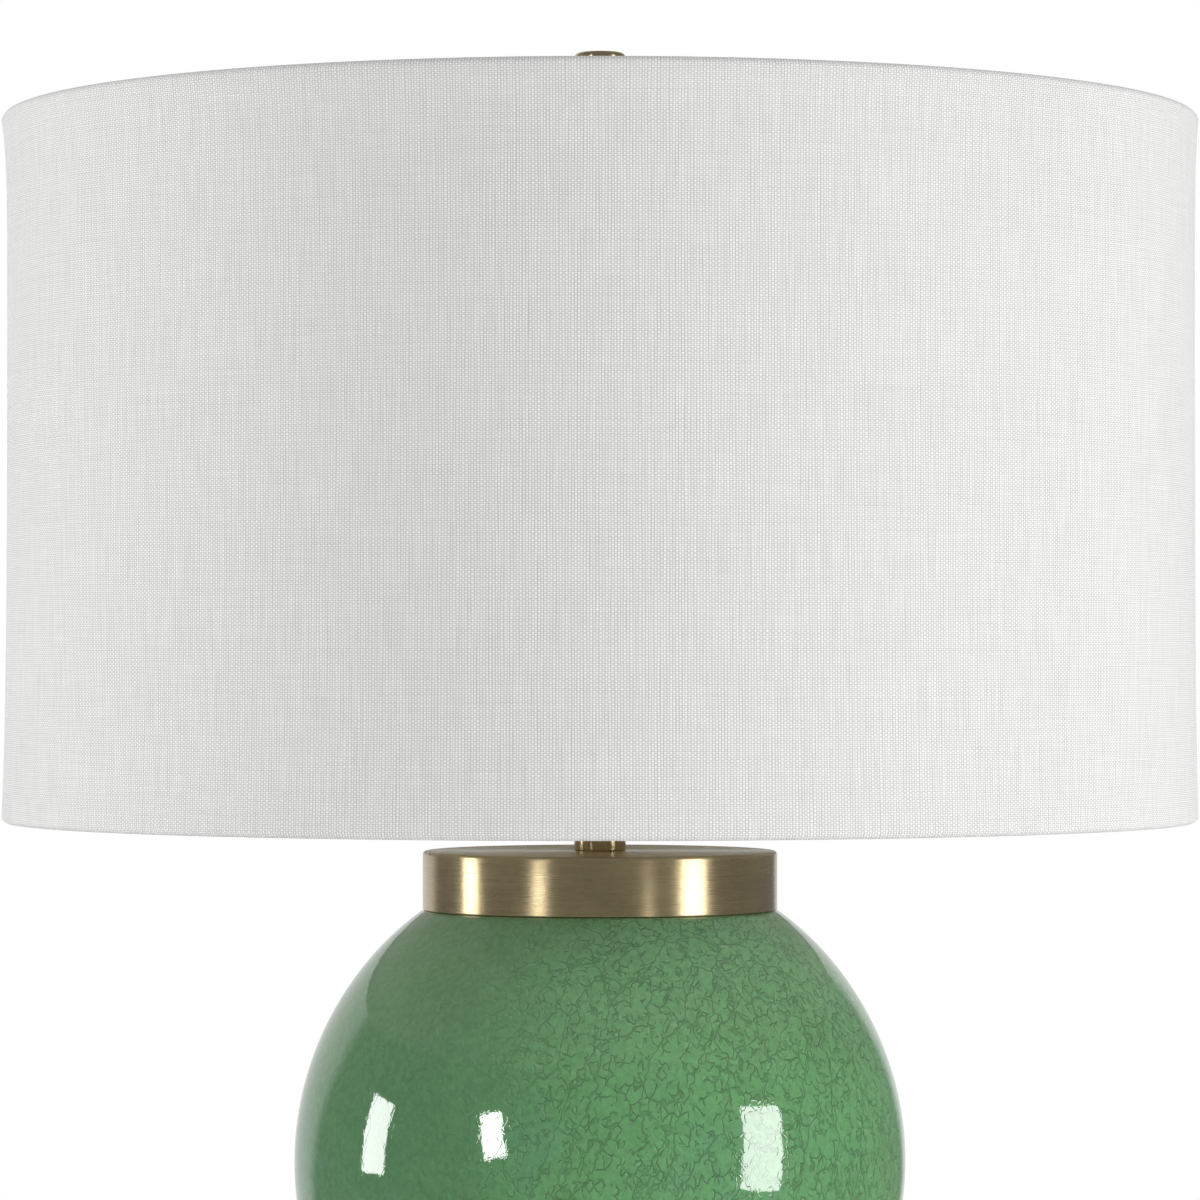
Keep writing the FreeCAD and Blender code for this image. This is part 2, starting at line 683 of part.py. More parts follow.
def make_terminals(shop):
    """The two wire terminals, one screw in each flat of the insulator."""
    shank = shop.doc.addObject("Part::Cylinder", "terminal_shank")
    shank.setExpression("Radius", qualified("terminal_shank_radius"))
    shank.setExpression("Height", qualified("terminal_shank_length + terminal_head_height / 2"))
    shank.setExpression("Placement.Base.z", qualified("insulator_flat - terminal_shank_length"))
    head = shop.doc.addObject("Part::Cylinder", "terminal_head")
    head.setExpression("Radius", qualified("terminal_head_radius"))
    head.setExpression("Height", qualified("terminal_head_height"))
    head.setExpression("Placement.Base.z", qualified("insulator_flat"))
    screw = shop.doc.addObject("Part::Fuse", "terminal_screw")
    screw.Base = head
    screw.Tool = shank
    pair = shop.group("terminal_screws", screw, ["right", "left"])
    for copy, angle in zip(pair.Links, (90, -90)):
        copy.Placement = FreeCAD.Placement(
            FreeCAD.Vector(), FreeCAD.Rotation(FreeCAD.Vector(0, 1, 0), angle))
    pair.setExpression("Placement.Base.z", qualified("terminal_z"))


def make_switch(shop):
    """The rotary switch's stem and the winged knob on it. Both lie along the axis to the front."""
    tip = "socket_cup_radius + stem_reach"
    shop.turned("switch_stem", [
        ("0", "insulator_radius - stem_depth"),
        ("stem_radius", "insulator_radius - stem_depth"),
        ("stem_radius", tip),
        ("0", tip),
    ], z="switch_z", turn=TO_FRONT)
    back = "socket_cup_radius + knob_standoff"
    knob = shop.turned("switch_knob", [
        ("stem_radius + turning_gap", back),
        ("knob_radius", back),
        ("knob_radius - rim_chamfer", "%s + knob_skirt" % back),
        ("0", "%s + knob_skirt" % back),
        ("0", "%s + seat_gap" % tip),
        ("stem_radius + turning_gap", "%s + seat_gap" % tip),
    ], z="switch_z", turn=TO_FRONT)
    shop.padded(knob, "XZ_Plane", "wing", box_corners(
        "-(knob_radius - rim_chamfer)", "%s + knob_skirt - rim_chamfer" % back,
        "knob_radius - rim_chamfer", "%s + knob_skirt + knob_wing_length" % back), "knob_wing_thickness")


def make_shade(shop):
    """The drum: cloth skin, the stiff lining that it is glued to, and the two hoops inside its rims."""
    shop.turned("shade_fabric", tube_corners("shade_radius - shade_skin", "shade_radius", "shade_height"),
                z="shade_base")
    shop.turned("shade_liner", tube_corners(
        "lining_radius - shade_lining", "lining_radius", "shade_height - 2 * (shade_skin + seat_gap)"),
        z="shade_base + shade_skin + seat_gap")
    shop.turned("shade_bottom_ring", tube_corners("ring_inner", "ring_radius", "ring_bar"),
                z="shade_base + shade_skin + seat_gap")
    make_spider(shop)


def make_spider(shop):
    """The top hoop with arms that drop to the centre washer, which sits on the harp's stud. One arm
    points to the rear. Heights are from the middle of the hoop's bar."""
    hoop_z = "(shade_top - shade_skin - seat_gap - ring_bar / 2)"
    body = shop.turned("shade_spider", box_corners("ring_inner", "-ring_bar / 2", "ring_radius",
                                                   "ring_bar / 2"), z=hoop_z, turn=RIGHT_TO_REAR)
    sunk = "washer_face - spider_washer_thickness / 2 - %s" % hoop_z
    start = "ring_inner + ring_bar / 4"
    spine = shop.sketch(body, "XZ_Plane", "arm_spine")
    shop.outline(spine, [
        (start, "0"),
        ("ring_inner - spider_slope_run", sunk),
        ("spider_washer_radius - spider_arm_radius", sunk),
    ], closed=False)
    section = wire_section(shop, body, "YZ_Plane", "arm_section", start, "0", "spider_arm_radius")
    arm = body.newObject("PartDesign::AdditivePipe", "arm")
    arm.Profile = section
    arm.Spine = spine
    arm.Transition = "Right corner"
    pattern = body.newObject("PartDesign::PolarPattern", "arms")
    pattern.Originals = [arm]
    pattern.Axis = (spine, ["V_Axis"])
    pattern.Angle = 360
    pattern.Occurrences = SPIDER_ARMS
    body.Tip = pattern
    hole = "stud_post_radius + spider_hole_gap"
    face = "(%s + spider_washer_thickness / 2)" % sunk
    shop.turned("spider_washer", box_corners(hole, "%s - spider_washer_thickness" % face,
                                             "spider_washer_radius", face), body=body)


def make_finial(shop):
    """The finial: a foot on the washer, a slim waist and a short drum, bored for the stud's post."""
    bore = "stud_post_radius + turning_gap"
    shoulder = "finial_foot_height + finial_waist_height"
    top = "%s + finial_height" % shoulder
    shop.turned("finial", [
        (bore, "0"),
        ("finial_foot_radius", "0"),
        ("finial_foot_radius", "finial_foot_height"),
        ("finial_waist_radius", "finial_foot_height"),
        ("finial_waist_radius", shoulder),
        ("finial_radius", shoulder),
        ("finial_radius", "%s - finial_chamfer" % top),
        ("finial_radius - finial_chamfer", top),
        ("0", top),
        ("0", "finial_bore_depth"),
        (bore, "finial_bore_depth"),
    ], z="washer_face")


def check(doc, pieces):
    """Stops with a plain message if any object failed or any piece isn't a valid solid."""
    for thing in doc.Objects:
        if "Invalid" in thing.State or "Error" in thing.State:
            raise RuntimeError("%s failed to build" % thing.Label)
    for piece in pieces:
        shape = piece.Shape
        if shape.isNull() or not shape.isValid() or shape.Volume <= 0:
            raise RuntimeError("%s is not a valid solid" % piece.Label)


def main():
    """Builds the lamp and writes each piece to its own file."""
    doc = FreeCAD.newDocument("ginger_jar_lamp")
    make_sheet(doc)
    shop = Workshop(doc)
    for make in (make_foot, make_clamp, make_jar, make_cap_and_neck, make_saddle, make_harp,
                 make_sleeves, make_stud, make_socket_metal, make_socket_core, make_switch,
                 make_shade, make_finial):
        make(shop)
    doc.recompute()
    check(doc, shop.pieces)
    os.makedirs("parts", exist_ok=True)
    for piece in shop.pieces:
        piece.Shape.exportStep("parts/%s.step" % piece.Label)
        print("%-24s %d solid  %10.1f mm3" % (piece.Label, len(piece.Shape.Solids), piece.Shape.Volume))


main()
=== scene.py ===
"""Looks of the ginger jar lamp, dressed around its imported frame.

Metres, +Z up, front towards -Y. Every turned piece is a profile spun about the lamp's axis, every wire
is a section carried along a path, and both are worked out from the frame's boxes and the sizes below.
"""
import bpy
import math
from mathutils import Matrix, Vector, noise


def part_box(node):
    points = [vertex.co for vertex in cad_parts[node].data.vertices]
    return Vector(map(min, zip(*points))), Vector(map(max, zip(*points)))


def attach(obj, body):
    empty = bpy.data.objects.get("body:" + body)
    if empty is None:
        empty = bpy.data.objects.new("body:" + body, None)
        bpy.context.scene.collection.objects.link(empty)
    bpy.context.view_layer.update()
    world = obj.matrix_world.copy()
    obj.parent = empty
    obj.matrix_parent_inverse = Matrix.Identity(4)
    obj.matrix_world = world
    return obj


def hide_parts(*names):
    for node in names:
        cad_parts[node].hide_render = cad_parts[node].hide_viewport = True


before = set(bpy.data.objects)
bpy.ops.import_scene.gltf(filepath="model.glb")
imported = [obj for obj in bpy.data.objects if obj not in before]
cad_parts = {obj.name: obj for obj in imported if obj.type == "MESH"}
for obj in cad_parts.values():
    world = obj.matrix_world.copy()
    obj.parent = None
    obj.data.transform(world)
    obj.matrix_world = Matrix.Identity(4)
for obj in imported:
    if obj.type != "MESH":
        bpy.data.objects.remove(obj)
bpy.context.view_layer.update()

MM = 0.001

# camera: level, in front of the lamp
CAMERA_DISTANCE = 1.951
CAMERA_HEIGHT = 0.4162
CAMERA_LENS = 161.3
CAMERA_SENSOR = 36.0
CAMERA_SHIFT_Y = 0.0459

# jar
JAR_WALL = 7 * MM
JAR_FOOT_LIP = 7 * MM
JAR_FOOT_ROUND = 2.2 * MM
JAR_MOUTH_WALL = 6 * MM
JAR_FLOOR = 8 * MM
JAR_BELLY_HEIGHT = 209.9 * MM
JAR_FOOT_RADIUS = 58 * MM
JAR_SEAT_GAP = 0.1 * MM

# wires of the harp and the shade's frame
HARP_WIRE = 1.9 * MM
HARP_LEG = 28 * MM
HARP_FLARE = 30 * MM
HARP_BOW = 57 * MM
HARP_STRAIGHT_END = 415.68 * MM
HARP_EYE_HALF = 2.2 * MM
HARP_LEG_END = 14 * MM
HOOP_WIRE = 1.25 * MM
ARM_WIRE = 1.5 * MM
ARM_SLOPE_RUN = 16 * MM
SPIDER_WASHER = 1.5 * MM
SPIDER_ARMS = 3

# cloth of the shade
CLOTH_THICKNESS = 0.6 * MM
CLOTH_ROLL = 2.1 * MM
CLOTH_TURN_IN = 8 * MM
CLOTH_GLUED = 1.9 * MM
CLOTH_DRAW_IN = 1.65 * MM
CLOTH_DRAW_IN_SKEW = 0.4 * MM
CLOTH_LAP = 12 * MM
CLOTH_LAP_RISE = 0.35 * MM
THREAD_ROUND = 1.0 * MM
THREAD_UP = 0.68 * MM

# socket and knob
LAMP_THREAD_PITCH = 3.63 * MM
LAMP_THREAD_DEPTH = 0.8 * MM
SOCKET_METAL = 0.5 * MM
CARD_THICKNESS = 0.6 * MM
SLOT_HALF = 2.4 * MM
KNOB_FLUTES = 24
KNOB_SKIRT = 5.5 * MM

# bores and walls that several pieces share
PIPE_HOLE = 5.2 * MM
CAP_WALL = 2 * MM
FOOT_WALL = 2.5 * MM
STUD_BORE = 3.25 * MM

# studio: how bright the room is to cloth and floor, and to glossy rays
STUDIO_LEVEL = 0.445
STUDIO_REAR = 0.72
GLOSS_LEVEL = 0.22
GLOSS_WALL = 0.85
SOFTBOX_AIM = Vector((0, 0, 0.25))
# name, metres away, degrees round from the camera (right is positive), degrees up, width and height in
# degrees, roll, level
SOFTBOXES = (
    ("left_softbox", 1.7, -91, 5.5, 12, 19, 0, 11.5),
    ("middle_softbox", 1.7, -40, 11.5, 8, 15, 14, 18.0),
    ("narrow_softbox", 0.8, 31, -15, 3.2, 5, 0, 24.0),
    ("right_softbox", 1.7, 62, 5, 17, 27, -8, 10.8),
)


class Shape:
    """Points, faces and their flat coordinates, gathered from grids of rings."""

    def __init__(self):
        self.points = []
        self.faces = []
        self.flats = []

    def grid(self, rings, across, along, looped=False):
        """Quads between neighbouring closed rings. across and along are each column's and ring's own
        flat coordinate; a ring of one point is a pole. looped joins the first and last rings."""
        starts = []
        for ring in rings:
            starts.append(len(self.points))
            self.points.extend(ring)
        count = max(len(ring) for ring in rings)
        last = len(rings) if looped else len(rings) - 1
        for row in range(last):
            after = (row + 1) % len(rings)
            for column in range(count):
                corners = []
                for ring, step in ((row, 0), (row, 1), (after, 1), (after, 0)):
                    size = len(rings[ring])
                    index = starts[ring] + ((column + step) % size if size > 1 else 0)
                    mark = row + 1 if ring == after else row
                    flat = (across[column + step], along[mark])
                    if not corners or index != corners[-1][0]:
                        corners.append((index, flat))
                if corners[0][0] == corners[-1][0]:
                    corners.pop()
                if len(corners) > 2:
                    self.faces.append([index for index, _ in corners])
                    self.flats.extend(flat for _, flat in corners)

    def moved(self, matrix, first=0):
        """Moves every point from the given one on."""
        for index in range(first, len(self.points)):
            self.points[index] = matrix @ Vector(self.points[index])


def rounded(corners, closed=True, steps=5):
    """A profile from (radius, height, fillet) corners, each fillet drawn as an arc."""
    found = []
    for place, (x, y, fillet) in enumerate(corners):
        at_end = not closed and place in (0, len(corners) - 1)
        corner = Vector((x, y))
        if fillet <= 0 or at_end:
            found.append(corner)
            continue
        before = (Vector(corners[place - 1][:2]) - corner).normalized()
        after = (Vector(corners[(place + 1) % len(corners)][:2]) - corner).normalized()
        half = before.angle(after) / 2
        middle = corner + (before + after).normalized() * fillet / math.sin(half)
        first = corner + before * fillet / math.tan(half) - middle
        turn = first.angle_signed(corner + after * fillet / math.tan(half) - middle)
        for step in range(steps + 1):
            found.append(middle + Matrix.Rotation(-turn * step / steps, 2) @ first)
    return found


def lengths(points, closed=False):
    """The running length at each point, with the closing one at the end of a closed loop."""
    marks = [0.0]
    for first, second in zip(points, points[1:] + (points[:1] if closed else [])):
        marks.append(marks[-1] + (second - first).length)
    return marks


def spin(shape, profile, looped=True, segments=192, shift=None):
    """Spins a profile of (radius, height) about Z. shift gives what to add to radius and height."""
    rings = []
    for point in profile:
        if point.x < 1e-7:
            rings.append([Vector((0, 0, point.y))])
            continue
        ring = []
        for step in range(segments):
            angle = math.tau * step / segments
            extra = shift(angle, point) if shift else (0.0, 0.0)
            radius = point.x + extra[0]
            ring.append(Vector((radius * math.cos(angle), radius * math.sin(angle), point.y + extra[1])))
        rings.append(ring)
    reach = max(point.x for point in profile)
    across = [math.tau * reach * step / segments for step in range(segments + 1)]
    shape.grid(rings, across, lengths(profile, looped), looped=looped)
    return shape


def sweep(shape, path, side, radius, sides):
    """A round wire, closed at its ends, along a path in a plane; side is that plane's normal."""
    rings = []
    side = Vector(side)
    for place, point in enumerate(path):
        ahead = path[min(place + 1, len(path) - 1)] - path[max(place - 1, 0)]
        out = ahead.normalized().cross(side)
        ring = []
        for step in range(sides):
            angle = math.tau * step / sides
            ring.append(point + out * radius * math.cos(angle) + side * radius * math.sin(angle))
        rings.append(ring)
    rings = [[path[0]]] + rings + [[path[-1]]]
    marks = lengths(path)
    marks = [marks[0]] + marks + [marks[-1]]
    across = [math.tau * radius * step / sides for step in range(sides + 1)]
    shape.grid(rings, across, marks)
    return shape


def arc(centre, radius, start, end, steps):
    """Points along an arc in the XZ plane, angles in radians from +X towards +Z."""
    found = []
    for step in range(steps + 1):
        angle = start + (end - start) * step / steps
        found.append(Vector((centre[0] + radius * math.cos(angle), 0, centre[1] + radius * math.sin(angle))))
    return found


def tube(inner, outer, low, high, inner_edge, outer_edge):
    """The profile of a tube or washer, with its inner and outer edges rounded."""
    return rounded([(inner, low, inner_edge), (outer, low, outer_edge), (outer, high, outer_edge),
                    (inner, high, inner_edge)])


def link(thing):
    """Puts an object in the scene."""
    bpy.context.scene.collection.objects.link(thing)


def piece(name, shape, finish, body, stands_for):
    """Makes the object, gives it its finish and lets it ride."""
    mesh = bpy.data.meshes.new(name)
    mesh.from_pydata([tuple(point) for point in shape.points], [], shape.faces)
    layer = mesh.uv_layers.new(name="flat")
    for index, flat in enumerate(shape.flats):
        layer.data[index].uv = flat
    mesh.shade_smooth()
    mesh.set_sharp_from_angle(angle=math.radians(40))
    mesh.materials.append(finish)
    thing = bpy.data.objects.new(name, mesh)
    link(thing)
    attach(thing, body)
    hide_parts(*stands_for)
    return thing


def eased(node, finish, width):
    """Keeps a CAD piece, with softly broken edges and a finish of its own."""
    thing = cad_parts[node]
    thing.data.materials.clear()
    thing.data.materials.append(finish)
    weld = thing.modifiers.new("weld", "WELD")
    weld.merge_threshold = 0.001 * MM
    bevel = thing.modifiers.new("bevel", "BEVEL")
    bevel.width = width
    bevel.segments = 2
    bevel.limit_method = "ANGLE"
    bevel.angle_limit = math.radians(40)
    bevel.harden_normals = True


class Nodes:
    """Short ways to add nodes to a tree; place is the vector that its patterns are measured in."""

    def __init__(self, tree, place):
        self.tree = tree
        self.place = self.add("ShaderNodeTexCoord").outputs[place]

    def add(self, kind, inputs=None, **settings):
        """A node with its settings, and its inputs set to values or joined to other nodes' outputs."""
        node = self.tree.nodes.new(kind)
        for key, value in settings.items():
            setattr(node, key, value)
        for key, value in (inputs or {}).items():
            if isinstance(value, bpy.types.NodeSocket):
                self.tree.links.new(value, node.inputs[key])
            else:
                node.inputs[key].default_value = value
        return node

    def math(self, operation, first, second=0.0):
        return self.add("ShaderNodeMath", {0: first, 1: second}, operation=operation).outputs[0]

    def plus(self, first, second):
        return self.math("ADD", first, second)

    def times(self, first, second):
        return self.math("MULTIPLY", first, second)

    def from_axis(self, x, y):
        return self.math("POWER", self.plus(self.times(x, x), self.times(y, y)), 0.5)

    def split(self, vector=None):
        return self.add("ShaderNodeSeparateXYZ", {0: vector or self.place}).outputs

    def joined(self, x, y, z):
        return self.add("ShaderNodeCombineXYZ", {0: x, 1: y, 2: z}).outputs[0]

    def scaled(self, x, y, z, vector=None):
        """The place with each axis multiplied."""
        inputs = {0: vector or self.place, 1: (x, y, z)}
        return self.add("ShaderNodeVectorMath", inputs, operation="MULTIPLY").outputs[0]

    def noise(self, vector, scale=1.0, detail=3.0, rough=0.5):
        inputs = {"Vector": vector, "Scale": scale, "Detail": detail, "Roughness": rough}
        return self.add("ShaderNodeTexNoise", inputs).outputs["Fac"]

    def between(self, value, low, high, out_low=0.0, out_high=1.0):
        """The value mapped smoothly from low..high to out_low..out_high."""
        inputs = {"Value": value, "From Min": low, "From Max": high, "To Min": out_low, "To Max": out_high}
        return self.add("ShaderNodeMapRange", inputs, interpolation_type="SMOOTHSTEP").outputs["Result"]

    def blend(self, factor, first, second, mode="MIX"):
        """Two colours mixed; each is a colour or a node's output."""
        node = self.add("ShaderNodeMix", data_type="RGBA", blend_type=mode)
        for socket, value in zip((node.inputs[0], node.inputs[6], node.inputs[7]), (factor, first, second)):
            if isinstance(value, bpy.types.NodeSocket):
                self.tree.links.new(value, socket)
            elif isinstance(value, tuple):
                socket.default_value = (*value, 1)
            else:
                socket.default_value = value
        return node.outputs[2]

    def bump(self, height, strength, distance, below=None):
        inputs = {"Height": height, "Strength": strength, "Distance": distance}
        if below is not None:
            inputs["Normal"] = below
        return self.add("ShaderNodeBump", inputs).outputs["Normal"]

    def along_turning(self, fine, round_scale):
        """Coordinates that run fast across a turned surface and slowly round it."""
        x, y, z = self.split()
        radius = self.from_axis(x, y)
        reach = self.math("MAXIMUM", radius, 0.0005)
        travel = self.times(self.plus(radius, z), fine)
        east = self.times(self.math("DIVIDE", x, reach), round_scale)
        north = self.times(self.math("DIVIDE", y, reach), round_scale)
        return self.joined(travel, east, north)


class Finish(Nodes):
    """A material with its Principled shader."""

    def __init__(self, name, colour, roughness, metallic=0.0, **sockets):
        self.material = bpy.data.materials.new(name)
        self.material.use_nodes = True
        super().__init__(self.material.node_tree, "Object")
        self.shader = self.tree.nodes["Principled BSDF"]
        self.shader.inputs["Base Color"].default_value = (*colour, 1)
        self.shader.inputs["Roughness"].default_value = roughness
        self.shader.inputs["Metallic"].default_value = metallic
        for key, value in sockets.items():
            self.shader.inputs[key.replace("_", " ")].default_value = value

    def wire(self, output, socket):
        self.tree.links.new(output, self.shader.inputs[socket])


def turned_brass(name, colour, roughness, brushing, patina):
    """Brass finished on the lathe: fine rings, a slow change of tone and a little handling haze."""
    finish = Finish(name, colour, roughness, 1.0, Anisotropic=0.9, Anisotropic_Rotation=0.25)
    tangent = finish.add("ShaderNodeTangent", direction_type="RADIAL", axis="Z")
    finish.wire(tangent.outputs[0], "Tangent")
    fine = finish.noise(finish.along_turning(5200, 3.0), 1.0, 3.0, 0.7)
    broad = finish.noise(finish.along_turning(700, 1.2), 1.0, 2.0)
    haze = finish.noise(finish.place, 38.0, 5.0, 0.6)
    dark = tuple(part * (1 - patina) for part in colour)
    tone = finish.blend(finish.between(haze, 0.35, 0.7), dark, colour)
    streak = finish.between(broad, 0.3, 0.7, 1 - patina / 2, 1.0)
    finish.wire(finish.blend(1.0, tone, finish.joined(streak, streak, streak), "MULTIPLY"), "Base Color")
    rough = finish.plus(finish.between(fine, 0.2, 0.8, roughness - 0.06, roughness + 0.08),
                        finish.between(haze, 0.3, 0.8, 0.0, 0.05))
    finish.wire(rough, "Roughness")
    finish.wire(finish.bump(fine, brushing, 0.05 * MM), "Normal")
    return finish.material


def plated_metal(name, colour, roughness):
    """Bright plated metal with faint orange peel, rub marks and uneven tone."""
    finish = Finish(name, colour, roughness, 1.0)
    peel = finish.noise(finish.place, 900.0, 2.0)
    rubs = finish.noise(finish.scaled(160, 160, 1400), 1.0, 4.0, 0.6)
    tone = finish.noise(finish.place, 70.0, 4.0)
    dull = tuple(part * 0.8 for part in colour)
    finish.wire(finish.blend(finish.between(tone, 0.35, 0.65), dull, colour), "Base Color")
    finish.wire(finish.between(rubs, 0.3, 0.75, roughness - 0.05, roughness + 0.12), "Roughness")
    finish.wire(finish.bump(peel, 0.12, 0.05 * MM), "Normal")
    return finish.material


def crack_net(finish, place):
    """The net of fine cracks and the long wandering ones, 1 on a line and 0 off it."""
    fine = finish.add("ShaderNodeTexVoronoi", {"Vector": finish.scaled(1, 1, 0.65, place), "Scale": 360.0},
                      feature="DISTANCE_TO_EDGE").outputs["Distance"]
    x, y, z = finish.split(place)
    leaning = finish.math("SUBTRACT", x, finish.times(z, 0.37))
    down = finish.joined(leaning, y, finish.times(z, 0.16))
    runs = finish.add("ShaderNodeTexVoronoi", {"Vector": down, "Scale": 75.0},
                      feature="DISTANCE_TO_EDGE").outputs["Distance"]
    broken = finish.between(finish.noise(place, 260.0, 3.0), 0.44, 0.56)
    short = finish.times(finish.between(fine, 0.0, 0.13, 0.95, 0.0), broken)
    return finish.math("MAXIMUM", short, finish.between(runs, 0.0, 0.019, 0.8, 0.0))


def crackle_glaze():
    """Green glaze: a raised net of cracks under a clear glassy coat, dense on the right and faint on the
    left, with teal pools low on the left and yellower green on the right. Each crack is a dark line, partly
    the glaze's own darker crack and partly painted shade, with a painted highlight beside it."""
    finish = Finish("crackle_glaze", (0.12, 0.28, 0.13), 0.5, 0.0, Specular_IOR_Level=0.0,
                    Coat_Weight=1.0, Coat_Roughness=0.035, Coat_IOR=1.6)
    x, _, z = finish.split()
    wander = finish.add("ShaderNodeTexNoise", {"Vector": finish.place, "Scale": 200.0, "Detail": 2.0})
    pushed = finish.add("ShaderNodeVectorMath", {0: wander.outputs["Color"], 1: (0.005, 0.005, 0.005)},
                        operation="MULTIPLY").outputs[0]
    bent = finish.add("ShaderNodeVectorMath", {0: finish.place, 1: pushed}, operation="ADD").outputs[0]
    beside = finish.add("ShaderNodeVectorMath", {0: bent, 1: (0.00038, 0.0, 0.00028)},
                        operation="ADD").outputs[0]
    cracks = crack_net(finish, bent)
    # the crack net shifted a little right and up, less the net itself: the side of each crack where a painted
    # highlight goes
    lit_edge = finish.math("SUBTRACT", crack_net(finish, beside), cracks)
    drift = finish.times(finish.noise(finish.place, 20.0, 2.0), 0.07)
    slant = finish.plus(finish.plus(x, drift), finish.times(z, -0.30))
    side = finish.between(slant, -0.115, -0.035)
    reach = finish.between(side, 0.0, 1.0, 0.22, 1.0)

    mottle = finish.noise(finish.place, 26.0, 5.0, 0.6)
    grain = finish.noise(finish.place, 420.0, 3.0, 0.6)
    green = finish.blend(side, (0.083, 0.208, 0.092), (0.130, 0.328, 0.132))
    upper = finish.blend(side, (0.128, 0.242, 0.116), (0.158, 0.330, 0.155))
    green = finish.blend(finish.between(z, 0.25, 0.32, 0.0, 0.8), green, upper)
    pool = finish.times(finish.between(mottle, 0.5, 0.68), finish.between(z, 0.30, 0.19))
    green = finish.blend(finish.times(pool, 0.55), green, (0.110, 0.245, 0.185))
    green = finish.blend(finish.between(mottle, 0.5, 0.32, 0.0, 0.3), green, (0.105, 0.215, 0.088))
    shade = finish.between(grain, 0.25, 0.75, 0.86, 1.10)
    green = finish.blend(1.0, green, finish.joined(shade, shade, shade), "MULTIPLY")
    # painted shade: the dark crack lines are partly the glaze's own darker cracks and partly painted shade on
    # the raised net, fading to the left
    dark = finish.times(finish.times(cracks, reach), 0.38)
    green = finish.blend(dark, green, (0.055, 0.14, 0.062))
    # painted highlight: a light green line beside each crack, where light would catch the raised net
    light = finish.times(finish.math("MAXIMUM", lit_edge, 0.0), reach)
    green = finish.blend(finish.times(light, 0.45), green, (0.26, 0.44, 0.26))
    finish.wire(green, "Base Color")

    relief = finish.times(cracks, reach)
    finish.wire(finish.bump(relief, 1.0, 0.45 * MM), "Normal")
    swell = finish.noise(finish.place, 24.0, 2.0)
    ripple = finish.noise(finish.scaled(1, 1, 0.5), 240.0, 2.0)
    glassy = finish.bump(swell, 0.15, 1.2 * MM)
    glassy = finish.bump(ripple, 0.09, 0.12 * MM, glassy)
    edges = finish.times(cracks, finish.between(side, 0.0, 1.0, 0.6, 1.0))
    glassy = finish.bump(edges, 0.08, 0.12 * MM, glassy)
    finish.wire(glassy, "Coat Normal")
    return finish.material


def linen():
    """White plain-weave linen on its own flat coordinates: threads that wander, thicken and slub, with
    painted shade between the threads and a painted highlight on their crowns.
    """
    finish = Finish("linen", (0.80, 0.79, 0.775), 0.88, 0.0, Sheen_Weight=0.12, Sheen_Roughness=0.5)
    flat = finish.add("ShaderNodeUVMap", uv_map="flat").outputs[0]
    across, up, _ = finish.split(flat)
    sway = finish.noise(finish.scaled(420, 26, 1, flat), 1.0, 2.0)
    bob = finish.noise(finish.scaled(22, 520, 1, flat), 1.0, 2.0)
    across = finish.plus(across, finish.times(sway, 0.9 * MM))
    up = finish.plus(up, finish.times(bob, 0.6 * MM))
    warp = finish.math("SINE", finish.times(across, math.pi / THREAD_ROUND))
    weft = finish.math("SINE", finish.times(up, math.pi / THREAD_UP))
    over = finish.between(finish.times(warp, weft), -0.35, 0.35)
    ridge = finish.math("POWER", finish.math("ABSOLUTE", warp), 0.7)
    rung = finish.times(finish.math("POWER", finish.math("ABSOLUTE", weft), 0.7), 0.72)
    height = finish.plus(finish.times(ridge, over),
                         finish.times(rung, finish.math("SUBTRACT", 1.0, over)))
    warp_slub = finish.noise(finish.scaled(1000, 42, 1, flat), 1.0, 2.0, 0.6)
    weft_slub = finish.noise(finish.scaled(30, 1300, 1, flat), 1.0, 2.0, 0.6)
    cloud = finish.noise(finish.scaled(9, 9, 1, flat), 1.0, 3.0)
    # painted shade and highlight: the colour follows the weave's height, darker between the threads and
    # lighter on their crowns
    depth = finish.between(height, 0.1, 0.95, 0.50, 1.16)
    thread = finish.times(finish.between(warp_slub, 0.25, 0.75, 0.95, 1.04),
                         finish.between(weft_slub, 0.25, 0.75, 0.975, 1.02))
    tone = finish.times(finish.times(depth, thread),
                       finish.between(cloud, 0.3, 0.7, 0.994, 1.004))
    colour = finish.blend(1.0, (0.83, 0.83, 0.825), finish.joined(tone, tone, tone), "MULTIPLY")
    finish.wire(colour, "Base Color")
    relief = finish.plus(height, finish.times(warp_slub, 0.8))
    finish.wire(finish.bump(relief, 0.45, 0.22 * MM), "Normal")
    return finish.material


def lining_sheet():
    """White styrene sheet: a faint vertical draw, pin-sized specks and a satin face."""
    finish = Finish("lining_sheet", (0.85, 0.84, 0.82), 0.42)
    draw = finish.noise(finish.scaled(320, 320, 9), 1.0, 3.0)
    specks = finish.noise(finish.place, 600.0, 2.0)
    tone = finish.blend(finish.between(draw, 0.3, 0.7), (0.82, 0.81, 0.785), (0.86, 0.855, 0.835))
    finish.wire(finish.blend(finish.between(specks, 0.68, 0.78, 0.0, 0.5), tone, (0.70, 0.68, 0.63)),
                "Base Color")
    finish.wire(finish.between(draw, 0.3, 0.7, 0.36, 0.5), "Roughness")
    finish.wire(finish.bump(draw, 0.2, 0.1 * MM), "Normal")
    return finish.material


